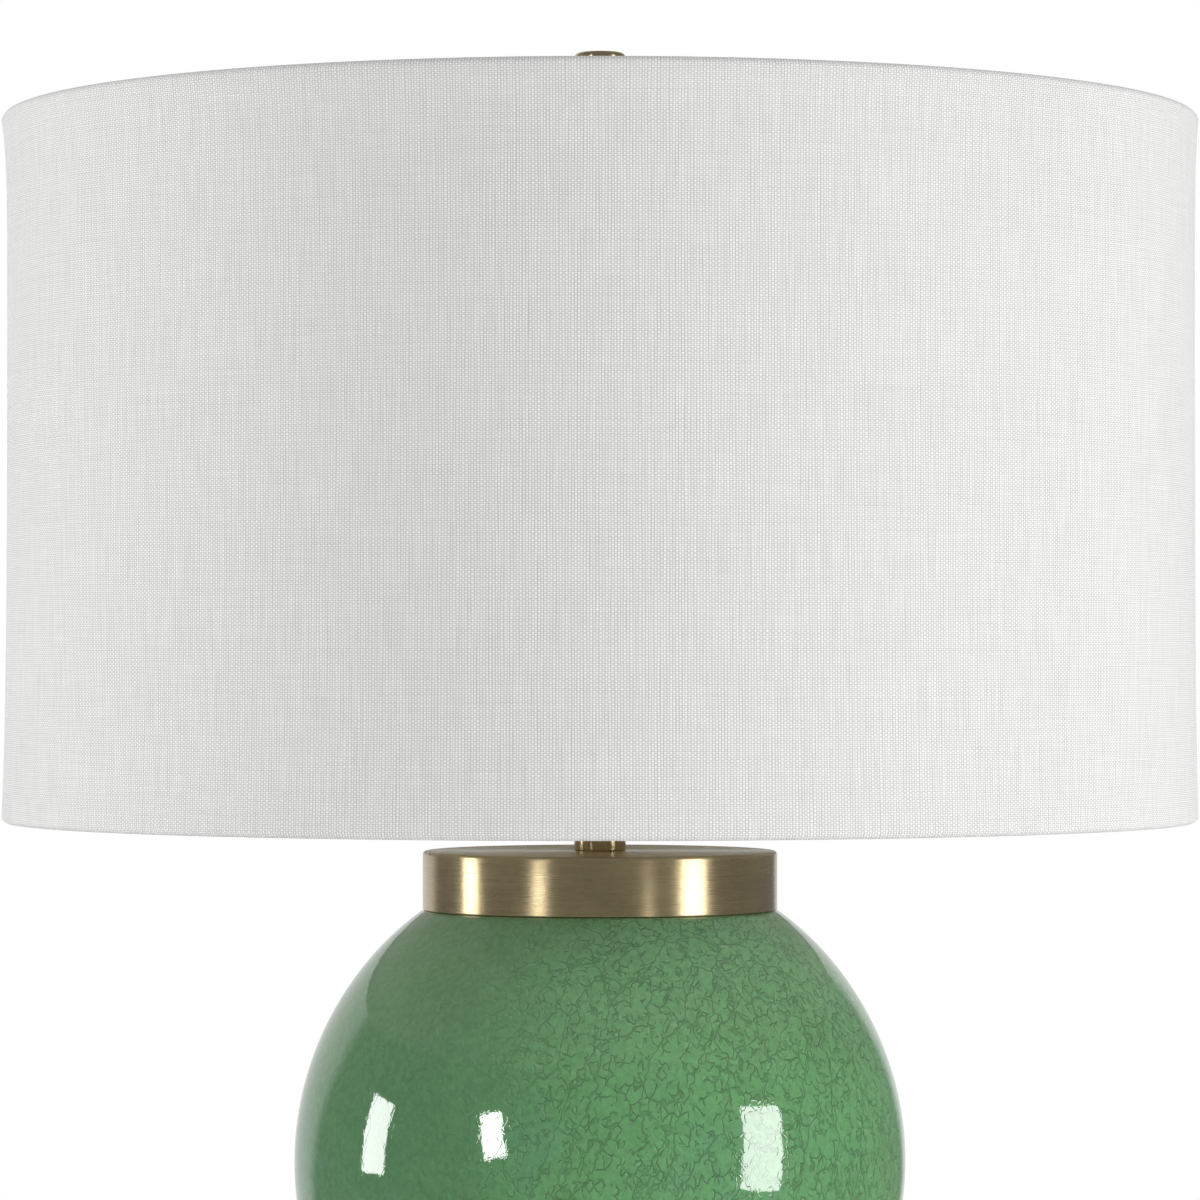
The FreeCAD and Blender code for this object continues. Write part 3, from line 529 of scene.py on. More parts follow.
def enamel(name, colour, roughness):
    """Thick paint on wire: soft lumps, dust nibs and uneven gloss."""
    finish = Finish(name, colour, roughness, 0.0, Coat_Weight=0.25, Coat_Roughness=0.2)
    lumps = finish.noise(finish.place, 260.0, 3.0)
    nibs = finish.noise(finish.place, 1500.0, 2.0)
    worn = tuple(part * 0.86 for part in colour)
    finish.wire(finish.blend(finish.between(lumps, 0.35, 0.7), worn, colour), "Base Color")
    finish.wire(finish.between(lumps, 0.3, 0.7, roughness - 0.08, roughness + 0.1), "Roughness")
    both = finish.plus(lumps, finish.times(nibs, 0.25))
    finish.wire(finish.bump(both, 0.2, 0.12 * MM), "Normal")
    return finish.material


def moulded(name, colour, roughness, grain_scale=1100.0):
    """Moulded plastic, rubber or phenolic: fine grain, faint flow and dusty recesses."""
    finish = Finish(name, colour, roughness)
    grain = finish.noise(finish.place, grain_scale, 3.0, 0.6)
    flow = finish.noise(finish.scaled(60, 60, 140), 1.0, 3.0)
    dusty = tuple(part * 0.7 + 0.035 for part in colour)
    finish.wire(finish.blend(finish.between(flow, 0.4, 0.75, 0.0, 0.6), colour, dusty), "Base Color")
    finish.wire(finish.between(flow, 0.3, 0.7, roughness - 0.06, roughness + 0.1), "Roughness")
    finish.wire(finish.bump(grain, 0.3, 0.06 * MM), "Normal")
    return finish.material


def fibrous(name, colour, scale, stretch, depth):
    """Felt or card: matted fibres in two tones."""
    finish = Finish(name, colour, 0.95, 0.0, Sheen_Weight=0.3)
    fibres = finish.noise(finish.scaled(scale, scale, scale * stretch), 1.0, 5.0, 0.7)
    clumps = finish.noise(finish.place, scale / 8, 3.0)
    light = tuple(min(part * 1.7 + 0.02, 1) for part in colour)
    mixed = finish.times(finish.between(fibres, 0.35, 0.7), finish.between(clumps, 0.2, 0.8))
    finish.wire(finish.blend(mixed, colour, light), "Base Color")
    finish.wire(finish.bump(fibres, 0.7, depth), "Normal")
    return finish.material


def make_jar(glaze):
    """The jar: ball above, tangent taper below, a rounded foot rim, and the wall's inside."""
    low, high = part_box("jar")
    belly = low.z + JAR_BELLY_HEIGHT
    radius = high.x
    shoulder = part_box("jar_cap")[0].z - JAR_SEAT_GAP
    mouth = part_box("mouth_gasket")[1].x
    rise = JAR_BELLY_HEIGHT - JAR_FOOT_LIP
    reach = math.hypot(JAR_FOOT_RADIUS, rise)
    taper = math.atan2(rise, JAR_FOOT_RADIUS) - math.acos(radius / reach)
    top = math.asin((shoulder - belly) / radius)
    steps = 72
    outer = []
    for step in range(steps + 1):
        angle = top + (-taper - top) * step / steps
        outer.append(Vector((radius * math.cos(angle), belly + radius * math.sin(angle))))
    knee = outer[-1]
    foot = Vector((JAR_FOOT_RADIUS, low.z + JAR_FOOT_LIP))
    inner_foot = JAR_FOOT_RADIUS - JAR_WALL
    lower = rounded([
        (*knee, 0),
        (*(foot + (knee - foot) * 0.06), 9 * MM),
        (foot.x, foot.y - 1 * MM, 3 * MM),
        (foot.x, low.z, JAR_FOOT_ROUND),
        (0.0052, low.z, 0),
        (0.0052, low.z + JAR_FLOOR, 1 * MM),
        (inner_foot, low.z + JAR_FLOOR, 8 * MM),
        (radius - JAR_WALL, belly, 30 * MM),
        (mouth - JAR_MOUTH_WALL, shoulder - 4 * MM, 12 * MM),
        (mouth - JAR_MOUTH_WALL, high.z, 1.5 * MM),
        (mouth, high.z, 2 * MM),
        (mouth, shoulder, 1 * MM),
        (*outer[0], 0),
    ], closed=False)

    def handmade(angle, point):
        """The slight unevenness of a thrown wall, fading out at the rims."""
        fade = min(1, max(0, (point.y - low.z) / 0.04)) * min(1, max(0, (shoulder - point.y) / 0.03))
        spot = Vector((math.cos(angle), math.sin(angle), point.y * 9))
        return (noise.noise(spot * 1.3) * 0.35 * MM - 0.35 * MM) * fade, 0.0

    # the taper is one long straight run, so it gets rings of its own
    taper_rings = 30
    for step in range(1, taper_rings):
        outer.append(knee.lerp(lower[1], step / taper_rings))
    profile = outer + lower[1:-1]
    shape = spin(Shape(), profile, segments=256, shift=handmade)
    piece("jar_glazed", shape, glaze, "root", ["jar"])


def make_cap(brass):
    """The spun cap, with a rolled top edge and a thin returned lip at the bottom."""
    low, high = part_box("jar_cap")
    profile = rounded([
        (PIPE_HOLE, high.z - CAP_WALL, 0),
        (high.x - CAP_WALL, high.z - CAP_WALL, 1.2 * MM),
        (high.x - CAP_WALL, low.z, 0.5 * MM),
        (high.x, low.z, 0.7 * MM),
        (high.x, high.z, 1.3 * MM),
        (high.x * 0.72, high.z - 0.05 * MM, 0),
        (high.x * 0.35, high.z - 0.05 * MM, 0),
        (PIPE_HOLE, high.z, 0),
    ], steps=8)
    piece("cap_spun", spin(Shape(), profile, segments=256), brass, "root",
          ["jar_cap"])


def make_neck(brass):
    """The turned neck, with a broken edge at each end."""
    low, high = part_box("neck")
    profile = tube(PIPE_HOLE, high.x, low.z, high.z, 0.2 * MM, 0.5 * MM)
    piece("neck_turned", spin(Shape(), profile, segments=128), brass, "root",
          ["neck"])


def make_foot(brass):
    """The foot cup, rolled at its top edge, with the cord's hole."""
    low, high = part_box("base_foot")
    profile = rounded([
        (PIPE_HOLE, high.z - FOOT_WALL, 0),
        (high.x - FOOT_WALL, high.z - FOOT_WALL, 1.5 * MM),
        (high.x - FOOT_WALL, low.z, 0.4 * MM),
        (high.x, low.z, 0.7 * MM),
        (high.x, high.z, 1.6 * MM),
        (PIPE_HOLE, high.z, 0),
    ], steps=8)
    foot = piece("foot_spun", spin(Shape(), profile, segments=192), brass, "root",
                 ["base_foot"])
    near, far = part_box("cord_bushing")
    middle = (near + far) / 2
    drill = Shape()
    spin(drill, rounded([(0, -8 * MM, 0), (5 * MM, -8 * MM, 0), (5 * MM, 8 * MM, 0), (0, 8 * MM, 0)],
                        closed=False), looped=False, segments=48)
    drill.moved(Matrix.Translation((0, high.x - FOOT_WALL / 2, middle.z))
                @ Matrix.Rotation(math.pi / 2, 4, "X"))
    mesh = bpy.data.meshes.new("drill")
    mesh.from_pydata([tuple(point) for point in drill.points], [], drill.faces)
    tool = bpy.data.objects.new("drill", mesh)
    link(tool)
    cut = foot.modifiers.new("cord_hole", "BOOLEAN")
    cut.object = tool
    cut.operation = "DIFFERENCE"
    cut.solver = "EXACT"
    solid = bpy.data.meshes.new_from_object(foot.evaluated_get(bpy.context.evaluated_depsgraph_get()))
    foot.modifiers.clear()
    foot.data = solid
    bpy.data.objects.remove(tool)


def make_bushing(plastic):
    """The cord's bushing, with a soft lip round its mouth."""
    low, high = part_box("cord_bushing")
    middle = (low.z + high.z) / 2
    bore = 3.5 * MM
    sleeve = 4.9 * MM
    flange = high.x
    back = high.y - 1.8 * MM
    profile = rounded([
        (bore, low.y, 0.3 * MM),
        (sleeve, low.y, 0.3 * MM),
        (sleeve, back, 0),
        (flange, back, 0.3 * MM),
        (flange, high.y, 0.8 * MM),
        (bore, high.y, 1.1 * MM),
    ])
    shape = spin(Shape(), profile, segments=64)
    shape.moved(Matrix.Translation((0, 0, middle)) @ Matrix.Rotation(-math.pi / 2, 4, "X"))
    piece("bushing_moulded", shape, plastic, "root", ["cord_bushing"])


def make_felt(felt):
    """The felt disc under the foot, a little uneven at its cut edge."""
    low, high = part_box("felt_pad")
    profile = rounded([(0, low.z, 0), (high.x, low.z, 0.4 * MM), (high.x, high.z, 0.3 * MM), (0, high.z, 0)],
                      closed=False)

    def ragged(angle, point):
        if point.x < high.x / 2:
            return 0.0, 0.0
        return (noise.noise(Vector((math.cos(angle), math.sin(angle), 0)) * 40) - 1) * 0.2 * MM, 0.0

    shape = spin(Shape(), profile, looped=False, segments=256, shift=ragged)
    piece("felt_disc", shape, felt, "root", ["felt_pad"])


def draw_in(angle, height, low, high):
    """How far the shade's wall is pulled in at a height: quickly under the top rim, slowly above the
    bottom one, and a little more on its left."""
    top = 1 - math.exp(-max(high - height, 0) / 0.012)
    bottom = 1 - math.exp(-max(height - low, 0) / 0.045)
    return (CLOTH_DRAW_IN - CLOTH_DRAW_IN_SKEW * math.cos(angle)) * top * bottom


def lap_rise(angle, reach):
    """The step where the cloth laps over itself at the rear."""
    away = abs((angle - math.pi / 2 + math.pi) % math.tau - math.pi) * reach
    return CLOTH_LAP_RISE * max(0.0, min(1.0, (CLOTH_LAP / 2 - away) / (0.6 * MM) + 0.5))


def make_cloth(finish):
    """The shade's cloth: rolled over both rims, turned in, drawn in between them, lapped at the rear."""
    low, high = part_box("shade_fabric")
    middle = high.x - CLOTH_THICKNESS / 2 - 0.1 * MM
    inside = middle - 2 * CLOTH_ROLL
    bottom = low.z + CLOTH_ROLL + CLOTH_THICKNESS / 2 + 0.1 * MM
    top = high.z - CLOTH_ROLL - CLOTH_THICKNESS / 2 - 0.1 * MM
    glued = middle - CLOTH_GLUED
    path = [Vector((glued, bottom + CLOTH_TURN_IN)), Vector((glued, bottom + CLOTH_TURN_IN * 0.7)),
            Vector((inside + 0.4 * MM, bottom + CLOTH_TURN_IN * 0.25))]
    for step in range(13):
        angle = math.pi + math.pi * step / 12
        path.append(Vector((middle - CLOTH_ROLL + CLOTH_ROLL * math.cos(angle),
                            bottom + CLOTH_ROLL * math.sin(angle))))
    rows = 48
    for step in range(1, rows):
        path.append(Vector((middle, bottom + (top - bottom) * step / rows)))
    for step in range(13):
        angle = math.pi * step / 12
        path.append(Vector((middle - CLOTH_ROLL + CLOTH_ROLL * math.cos(angle),
                            top + CLOTH_ROLL * math.sin(angle))))
    path += [Vector((inside + 0.4 * MM, top - CLOTH_TURN_IN * 0.25)),
             Vector((glued, top - CLOTH_TURN_IN * 0.7)), Vector((glued, top - CLOTH_TURN_IN))]
    faces = ([], [])
    for place, point in enumerate(path):
        ahead = (path[min(place + 1, len(path) - 1)] - path[max(place - 1, 0)]).normalized()
        out = Vector((ahead.y, -ahead.x)) * CLOTH_THICKNESS / 2
        faces[0].append(point + out)
        faces[1].append(point - out)
    profile = faces[0] + faces[1][::-1]

    def pulled(angle, point):
        if point.x < middle - CLOTH_ROLL:
            return 0.0, 0.0
        cover = min(1.0, (point.x - middle + CLOTH_ROLL) / CLOTH_ROLL)
        return lap_rise(angle, high.x) * cover - draw_in(angle, point.y, bottom, top), 0.0

    shape = spin(Shape(), profile, segments=320, shift=pulled)
    cloth = piece("shade_cloth", shape, finish, "shade", ["shade_fabric"])


def make_lining(finish):
    """The stiff lining behind the cloth, with its own lap at the rear."""
    low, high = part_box("shade_liner")
    rows = 40
    gap = 2.2 * MM
    outer = high.x - 0.35 * MM
    inner = outer - 0.45 * MM
    up = [Vector((outer, low.z + gap + (high.z - low.z - 2 * gap) * step / rows)) for step in range(rows + 1)]
    profile = up + [Vector((inner, point.y)) for point in reversed(up)]

    def pulled(angle, point):
        lap = lap_rise(angle, high.x) if point.x < outer - 0.2 * MM else 0.0
        return -draw_in(angle, point.y, low.z + gap, high.z - gap) - lap, 0.0

    shape = spin(Shape(), profile, segments=240, shift=pulled)
    piece("shade_lining", shape, finish, "shade", ["shade_liner"])


def hoop(shape, radius, height):
    """A round wire ring."""
    profile = []
    for step in range(16):
        angle = math.tau * step / 16
        profile.append(Vector((radius + HOOP_WIRE * math.cos(angle), height + HOOP_WIRE * math.sin(angle))))
    return spin(shape, profile, segments=240)


def make_shade_frame(paint):
    """The two hoops, and the arms and washer that carry the shade."""
    low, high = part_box("shade_bottom_ring")
    hoop_radius = high.x - HOOP_WIRE - 0.05 * MM
    ring = hoop(Shape(), hoop_radius, (low.z + high.z) / 2)
    piece("bottom_hoop", ring, paint, "shade", ["shade_bottom_ring"])

    low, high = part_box("shade_spider")
    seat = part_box("harp_stud")[1].z - 10 * MM
    level = seat + SPIDER_WASHER / 2
    hoop_height = high.z - 1.3 * MM
    shape = hoop(Shape(), hoop_radius, hoop_height)
    for arm in range(SPIDER_ARMS):
        first = len(shape.points)
        path = rounded([
            (hoop_radius - 0.4 * MM, hoop_height, 0),
            (hoop_radius - 3 * MM, hoop_height - 0.3 * MM, 3 * MM),
            (hoop_radius - ARM_SLOPE_RUN, level, 9 * MM),
            (9.5 * MM, level, 0),
        ], closed=False, steps=8)
        sweep(shape, [Vector((point.x, 0, point.y)) for point in path], (0, 1, 0), ARM_WIRE, 16)
        shape.moved(Matrix.Rotation(math.pi / 2 + math.tau * arm / SPIDER_ARMS, 4, "Z"), first)
    washer = tube(3.5 * MM, 11 * MM, seat, seat + SPIDER_WASHER, 0.2 * MM, 0.4 * MM)
    spin(shape, washer, segments=96)
    piece("spider_wires", shape, paint, "shade", ["shade_spider"])


def make_finial(brass):
    """The finial: foot, waist and drum, every edge rounded, the drum's top slightly crowned."""
    low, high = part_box("finial")
    drum = high.z - 25.2 * MM
    profile = rounded([
        (STUD_BORE, low.z, 0.2 * MM),
        (7 * MM, low.z, 0.5 * MM),
        (7 * MM, low.z + 3.2 * MM, 1.0 * MM),
        (4.8 * MM, low.z + 4.2 * MM, 0.8 * MM),
        (4.8 * MM, drum - 0.8 * MM, 1.2 * MM),
        (high.x, drum, 0.8 * MM),
        (high.x, high.z - 0.35 * MM, 1.7 * MM),
        (0, high.z, 0),
        (0, low.z + 11 * MM, 0),
        (STUD_BORE, low.z + 11 * MM, 0.4 * MM),
    ], closed=True, steps=7)
    shape = Shape()
    top = [index for index, point in enumerate(profile) if point.x < 1e-7][0]
    ordered = profile[top + 1:] + profile[:top + 1]
    spin(shape, ordered, looped=False, segments=128)
    piece("finial_turned", shape, brass, "finial", ["finial"])


def harp_path():
    """The harp's centre line from the right leg's upper end to the left one's."""
    low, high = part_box("harp_bow")
    centre = high.z - HARP_EYE_HALF - HARP_BOW
    dx = HARP_LEG + HARP_FLARE
    dz = centre - HARP_STRAIGHT_END
    flare = math.atan2(dz, dx) - math.acos((HARP_FLARE + HARP_BOW) / math.hypot(dx, dz))
    leg = [Vector((HARP_LEG, 0, low.z + HARP_LEG_END)), Vector((HARP_LEG, 0, HARP_STRAIGHT_END))]
    knee = arc((HARP_LEG + HARP_FLARE, HARP_STRAIGHT_END), HARP_FLARE, math.pi, math.pi - flare, 8)
    bow = arc((0, centre), HARP_BOW, -flare, math.pi / 2, 40)
    right = leg + knee[1:] + bow
    left = [Vector((-point.x, 0, point.z)) for point in reversed(right[:-1])]
    return right + left


def make_harp(brass):
    """The harp's wire with its flattened eye, and the half-round leg ends."""
    low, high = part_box("harp_bow")
    shape = sweep(Shape(), harp_path(), (0, -1, 0), HARP_WIRE, 24)
    eye = tube(2.56 * MM, 5.6 * MM, high.z - 2 * HARP_EYE_HALF, high.z, 0.2 * MM, 0.9 * MM)
    spin(shape, eye, segments=64)
    for side in (-1, 1):
        rings = []
        for height in (low.z, low.z + HARP_LEG_END):
            ring = []
            for step in range(13):
                angle = -math.pi / 2 + math.pi * step / 12
                ring.append(Vector((side * (HARP_LEG + HARP_WIRE * math.cos(angle)),
                                    HARP_WIRE * math.sin(angle), height)))
            rings.append(ring)
        ends = [[Vector((side * (HARP_LEG + 0.8 * MM), 0, low.z))], *rings]
        shape.grid(ends, [step * 0.5 * MM for step in range(14)], [0, 1 * MM, 15 * MM])
    piece("harp_wire", shape, brass, "harp", ["harp_bow"])


def make_sleeves(brass):
    """The two sleeves over the harp's leg ends, rolled in at the top."""
    for node, body in (("harp_sleeve_left", "sleeve_left"), ("harp_sleeve_right", "sleeve_right")):
        low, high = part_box(node)
        outer = (high.x - low.x) / 2
        bore = outer - 0.9 * MM
        profile = rounded([
            (2.4 * MM, high.z - 1.2 * MM, 0.2 * MM),
            (bore, high.z - 1.2 * MM, 0.2 * MM),
            (bore, low.z, 0.3 * MM),
            (outer, low.z, 0.4 * MM),
            (outer, high.z, 0.9 * MM),
            (2.4 * MM, high.z, 0.3 * MM),
        ])
        shape = spin(Shape(), profile, segments=64)
        shape.moved(Matrix.Translation(((low.x + high.x) / 2, 0, 0)))
        piece(node.replace("harp_", "") + "_rolled", shape, brass, body, [node])


def make_socket(brass, card, aluminium):
    """The socket's cup and shell with their stamped beads, its card liner and the rolled lamp thread."""
    low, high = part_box("socket_cap")
    cup = rounded([
        (PIPE_HOLE, low.z, 0),
        (7.6 * MM, low.z, 0.4 * MM),
        (7.6 * MM, low.z + 5.6 * MM, 1.6 * MM),
        (13.4 * MM, low.z + 6.6 * MM, 3 * MM),
        (high.x, low.z + 11.4 * MM, 4 * MM),
        (high.x, high.z - 2.4 * MM, 0.5 * MM),
        (high.x - 0.25 * MM, high.z - 1.7 * MM, 0.5 * MM),
        (high.x, high.z - 1 * MM, 0.4 * MM),
        (high.x - 0.1 * MM, high.z, 0.15 * MM),
        (high.x - 0.6 * MM, high.z, 0.1 * MM),
        (high.x - 0.6 * MM, low.z + 11.6 * MM, 3.4 * MM),
        (PIPE_HOLE, low.z + 11 * MM, 0),
    ], steps=6)
    piece("socket_cup_drawn", spin(Shape(), cup, segments=128), brass, "root", ["socket_cap"])

    low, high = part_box("socket_shell")
    bead = 0.35 * MM
    corners = [(high.x - SOCKET_METAL, low.z, 0), (high.x - 0.05 * MM, low.z, 0.1 * MM)]
    for height in (12, 14.5, 40, 42.5):
        level = low.z + height * MM
        corners += [(high.x - bead, level - 0.9 * MM, 0.4 * MM), (high.x, level, 0.7 * MM),
                    (high.x - bead, level + 0.9 * MM, 0.4 * MM)]
    corners += [(high.x - bead, high.z - 0.5 * MM, 0.3 * MM), (high.x - bead - 0.2 * MM, high.z, 0.1 * MM),
                (high.x - SOCKET_METAL - bead, high.z, 0.1 * MM),
                (high.x - SOCKET_METAL - bead, low.z + 2 * MM, 1 * MM)]
    shell = spin(Shape(), rounded(corners, steps=3), segments=160)
    piece("socket_shell_drawn", slotted(shell), brass, "root", ["socket_shell"])

    low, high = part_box("socket_liner")
    liner = spin(Shape(), rounded([
        (high.x - CARD_THICKNESS, low.z, 0.1 * MM),
        (high.x, low.z, 0.1 * MM),
        (high.x, high.z, 0.2 * MM),
        (high.x - CARD_THICKNESS, high.z, 0.2 * MM),
    ]), segments=160)
    piece("socket_card", slotted(liner), card, "root", ["socket_liner"])
    make_lamp_thread(aluminium)


def slotted(shape):
    """Drops the faces in front of the switch stem, from the lower edge up to just above the stem."""
    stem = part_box("switch_stem")
    centre = (stem[0].z + stem[1].z) / 2
    faces = []
    flats = []
    place = 0
    for face in shape.faces:
        corners = [shape.points[index] for index in face]
        middle = sum(corners, Vector()) / len(corners)
        within = abs(middle.x) < SLOT_HALF and middle.y < 0 and middle.z < centre + SLOT_HALF
        if not within:
            faces.append(face)
            flats.extend(shape.flats[place:place + len(face)])
        place += len(face)
    shape.faces = faces
    shape.flats = flats
    return shape


def make_lamp_thread(aluminium):
    """The shell that the lamp screws into: one rolled thread that climbs round it."""
    low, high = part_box("socket_screw_shell")
    rows = 96
    profile = []
    for step in range(rows + 1):
        rise = (high.z - low.z - 0.6 * MM) * step / rows
        profile.append(Vector((high.x - 0.05 * MM, low.z + 0.6 * MM + rise)))
    inner = [Vector((point.x - 0.35 * MM, point.y)) for point in reversed(profile)]
    floor = [Vector((6.2 * MM, low.z + 0.4 * MM)), Vector((6.2 * MM, low.z))]
    loop = profile + inner + floor

    def climbing(angle, point):
        if point.x < 10 * MM:
            return 0.0, 0.0
        fade = min(1, (point.y - low.z - 0.6 * MM) / MM) * min(1, (high.z - point.y) / MM)
        turn = math.cos(math.tau * (point.y - low.z) / LAMP_THREAD_PITCH - angle)
        return -LAMP_THREAD_DEPTH / 2 * (1 + turn) * max(fade, 0) * 0.5, 0.0

    shape = spin(Shape(), loop, segments=128, shift=climbing)
    piece("lamp_thread_rolled", shape, aluminium, "root", ["socket_screw_shell"])


def make_knob(plastic):
    """The switch knob: a fluted skirt and a wing with rounded ends."""
    low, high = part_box("switch_knob")
    middle = (low.z + high.z) / 2
    radius = high.x
    back = -high.y
    skirt = back + KNOB_SKIRT
    tip = -low.y
    profile = rounded([
        (1.8 * MM, back, 0.2 * MM),
        (radius, back, 0.5 * MM),
        (radius - 0.8 * MM, skirt, 0.8 * MM),
        (0, skirt + 0.4 * MM, 0),
    ], closed=False)

    def fluted(angle, point):
        if point.x < radius * 0.8:
            return 0.0, 0.0
        return -0.22 * MM * (1 + math.cos(KNOB_FLUTES * angle)) / 2, 0.0

    shape = spin(Shape(), profile, looped=False, segments=192, shift=fluted)
    rings = []
    marks = []
    stations = 14
    for step in range(stations + 1):
        share = step / stations
        height = skirt - 0.6 * MM + (tip - skirt + 0.6 * MM) * math.sin(share * math.pi / 2)
        crown = math.cos(share * math.pi / 2) ** 0.35 if step < stations else 0.0
        if crown < 0.02:
            rings.append([Vector((0, 0, tip))])
        else:
            rings.append(wing_ring((radius - 0.9 * MM) * (0.55 + 0.45 * crown), 1.7 * MM * crown, height))
        marks.append(height)
    columns = len(rings[0])
    shape.grid(rings, [step * 0.4 * MM for step in range(columns + 1)], marks)
    shape.moved(Matrix.Translation((0, 0, middle)) @ Matrix.Rotation(math.pi / 2, 4, "X"))
    piece("knob_fluted", shape, plastic, "switch", ["switch_knob"])


def wing_ring(half_length, half_width, height):
    """One section of the knob's wing: a slot shape with round ends, drawn in at the waist."""
    ring = []
    for step in range(48):
        angle = math.tau * step / 48
        east = math.copysign(abs(math.cos(angle)) ** 0.6, math.cos(angle))
        north = math.copysign(abs(math.sin(angle)) ** 0.6, math.sin(angle))
        waist = 0.72 + 0.28 * east * east
        ring.append(Vector((half_length * east, half_width * north * waist, height)))
    return ring


def keep_small_pieces(steel, brass, rubber, phenolic):
    """The CAD pieces whose shapes are already right."""
    for node in ("lamp_pipe", "base_washer", "hex_nuts", "socket_set_screw"):
        eased(node, steel, 0.3 * MM)
    for node in ("harp_saddle", "harp_stud", "terminal_screws", "socket_centre_contact", "switch_stem"):
        eased(node, brass, 0.2 * MM)
    for node in ("jar_seat_pad", "mouth_gasket"):
        eased(node, rubber, 0.3 * MM)
    eased("socket_insulator", phenolic, 0.3 * MM)


def make_floor():
    """A round pale floor that fades to the white background well away from the lamp."""
    reach = 1.95
    shape = Shape()
    rings = [[Vector((0, 0, 0))]]
    marks = [0.0]
    for step in range(1, 21):
        radius = reach * step / 20
        angles = [math.tau * turn / 96 for turn in range(96)]
        rings.append([Vector((radius * math.cos(angle), radius * math.sin(angle), 0)) for angle in angles])
        marks.append(radius)
    shape.grid(rings, [step * 0.1 for step in range(97)], marks)
    mesh = bpy.data.meshes.new("floor")
    mesh.from_pydata([tuple(point) for point in shape.points], [], shape.faces)
    floor = bpy.data.objects.new("floor", mesh)
    finish = Finish("floor", (0.82, 0.82, 0.81), 0.7)
    x, y, _ = finish.split()
    away = finish.math("MAXIMUM", finish.from_axis(x, y), 0.01)
    speckle = finish.noise(finish.place, 60.0, 4.0)
    finish.wire(finish.blend(finish.between(speckle, 0.3, 0.7), (0.80, 0.80, 0.79), (0.83, 0.83, 0.82)),
                "Base Color")
    path = finish.add("ShaderNodeLightPath").outputs
    wall = wall_light(finish, finish.math("DIVIDE", x, away), finish.math("DIVIDE", y, away), 0.0)
    level = finish.math("MAXIMUM", wall, path["Is Camera Ray"])
    glow = finish.add("ShaderNodeEmission", {"Color": (1, 1, 1, 1), "Strength": level})
    seen = finish.math("MAXIMUM", path["Is Camera Ray"], path["Is Glossy Ray"])
    factor = finish.times(finish.between(away, 0.25, 1.6, 0.35, 1.0), seen)
    mixed = finish.add("ShaderNodeMixShader", {0: factor, 1: finish.shader.outputs[0], 2: glow.outputs[0]})
    finish.tree.links.new(mixed.outputs[0], finish.tree.nodes["Material Output"].inputs["Surface"])
    mesh.materials.append(finish.material)
    link(floor)


def make_world():
    """White to the camera, a grey studio with a bright rear to the cloth and the floor, and to the gloss
    a darker one whose white wall stands behind the lamp and round its left."""
    world = bpy.data.worlds.new("studio")
    bpy.context.scene.world = world
    world.use_nodes = True
    nodes = Nodes(world.node_tree, "Generated")
    x, y, z = nodes.split()
    room = nodes.between(y, 0.47, 0.60, STUDIO_LEVEL, STUDIO_REAR)
    path = nodes.add("ShaderNodeLightPath").outputs
    glossy = path["Is Glossy Ray"]
    seen = nodes.plus(nodes.times(room, nodes.math("SUBTRACT", 1.0, glossy)),
                      nodes.times(wall_light(nodes, x, y, z), glossy))
    level = nodes.math("MAXIMUM", seen, path["Is Camera Ray"])
    background = world.node_tree.nodes["Background"]
    background.inputs["Color"].default_value = (1, 1, 1, 1)
    world.node_tree.links.new(level, background.inputs["Strength"])


def wall_light(nodes, x, y, z):
    """How bright the studio is to a glossy ray in a direction."""
    turned = nodes.plus(y, nodes.times(x, -0.2))
    raised = nodes.plus(turned, nodes.times(z, 0.3))
    return nodes.between(raised, 0.79, 0.89, GLOSS_LEVEL, GLOSS_WALL)


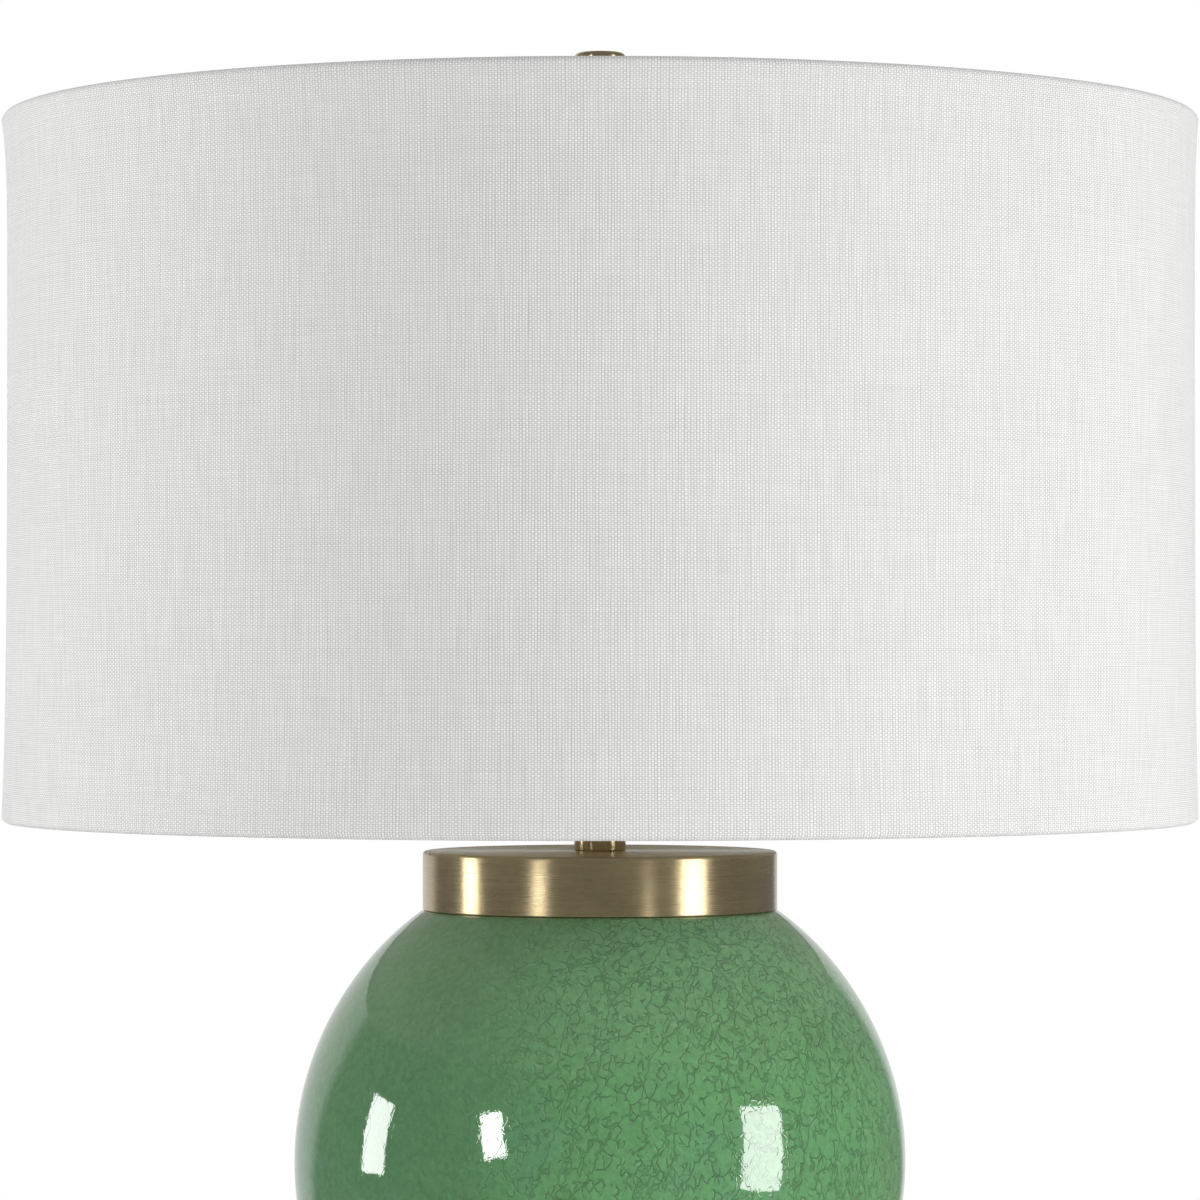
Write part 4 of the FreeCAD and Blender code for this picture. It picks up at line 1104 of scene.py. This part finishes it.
def make_softboxes():
    """Studio softboxes round the lamp, each placed by the direction that it is seen in from the jar."""
    for name, distance, turn, lift, wide, tall, roll, level in SOFTBOXES:
        turn = math.radians(turn)
        lift = math.radians(lift)
        away = Vector((math.sin(turn) * math.cos(lift), -math.cos(turn) * math.cos(lift), math.sin(lift)))
        light = bpy.data.lights.new(name, "AREA")
        light.shape = "RECTANGLE"
        light.size = 2 * distance * math.tan(math.radians(wide / 2))
        light.size_y = 2 * distance * math.tan(math.radians(tall / 2))
        light.energy = level * math.pi * light.size * light.size_y
        lamp = bpy.data.objects.new(name, light)
        lamp.location = SOFTBOX_AIM + away * distance
        facing = away.to_track_quat("Z", "Y").to_matrix() @ Matrix.Rotation(math.radians(roll), 3, "Z")
        lamp.rotation_euler = facing.to_euler()
        lamp.visible_camera = False
        link(lamp)


def make_camera():
    """A level camera with a long lens, framed as the photograph is."""
    data = bpy.data.cameras.new("camera")
    data.lens = CAMERA_LENS
    data.sensor_width = CAMERA_SENSOR
    data.shift_y = CAMERA_SHIFT_Y
    camera = bpy.data.objects.new("camera", data)
    camera.location = (0, -CAMERA_DISTANCE, CAMERA_HEIGHT)
    camera.rotation_euler = (math.pi / 2, 0, 0)
    link(camera)
    bpy.context.scene.camera = camera


def main():
    """Dresses the lamp and sets the studio round it."""
    brushed = turned_brass("brushed_brass", (0.52, 0.415, 0.245), 0.27, 0.16, 0.12)
    polished = turned_brass("polished_brass", (0.62, 0.50, 0.31), 0.14, 0.08, 0.10)
    plated = plated_metal("plated_brass", (0.78, 0.61, 0.36), 0.2)
    steel = plated_metal("zinc_steel", (0.60, 0.60, 0.58), 0.34)
    aluminium = plated_metal("rolled_aluminium", (0.80, 0.79, 0.76), 0.24)
    paint = enamel("white_enamel", (0.80, 0.79, 0.76), 0.35)
    black = moulded("black_plastic", (0.030, 0.027, 0.025), 0.32)
    phenolic = moulded("phenolic", (0.075, 0.058, 0.045), 0.3)
    rubber = moulded("rubber", (0.045, 0.045, 0.045), 0.75, 700.0)
    felt = fibrous("felt", (0.10, 0.095, 0.09), 900.0, 1.0, 0.4 * MM)
    card = fibrous("card", (0.30, 0.22, 0.13), 500.0, 0.15, 0.1 * MM)

    make_jar(crackle_glaze())
    make_cap(brushed)
    make_neck(polished)
    make_foot(brushed)
    make_bushing(black)
    make_felt(felt)
    make_cloth(linen())
    make_lining(lining_sheet())
    make_shade_frame(paint)
    make_finial(polished)
    make_harp(plated)
    make_sleeves(plated)
    make_socket(plated, card, aluminium)
    make_knob(black)
    keep_small_pieces(steel, plated, rubber, phenolic)
    make_floor()
    make_world()
    make_softboxes()
    make_camera()
    bpy.context.scene.view_settings.view_transform = "Standard"


main()
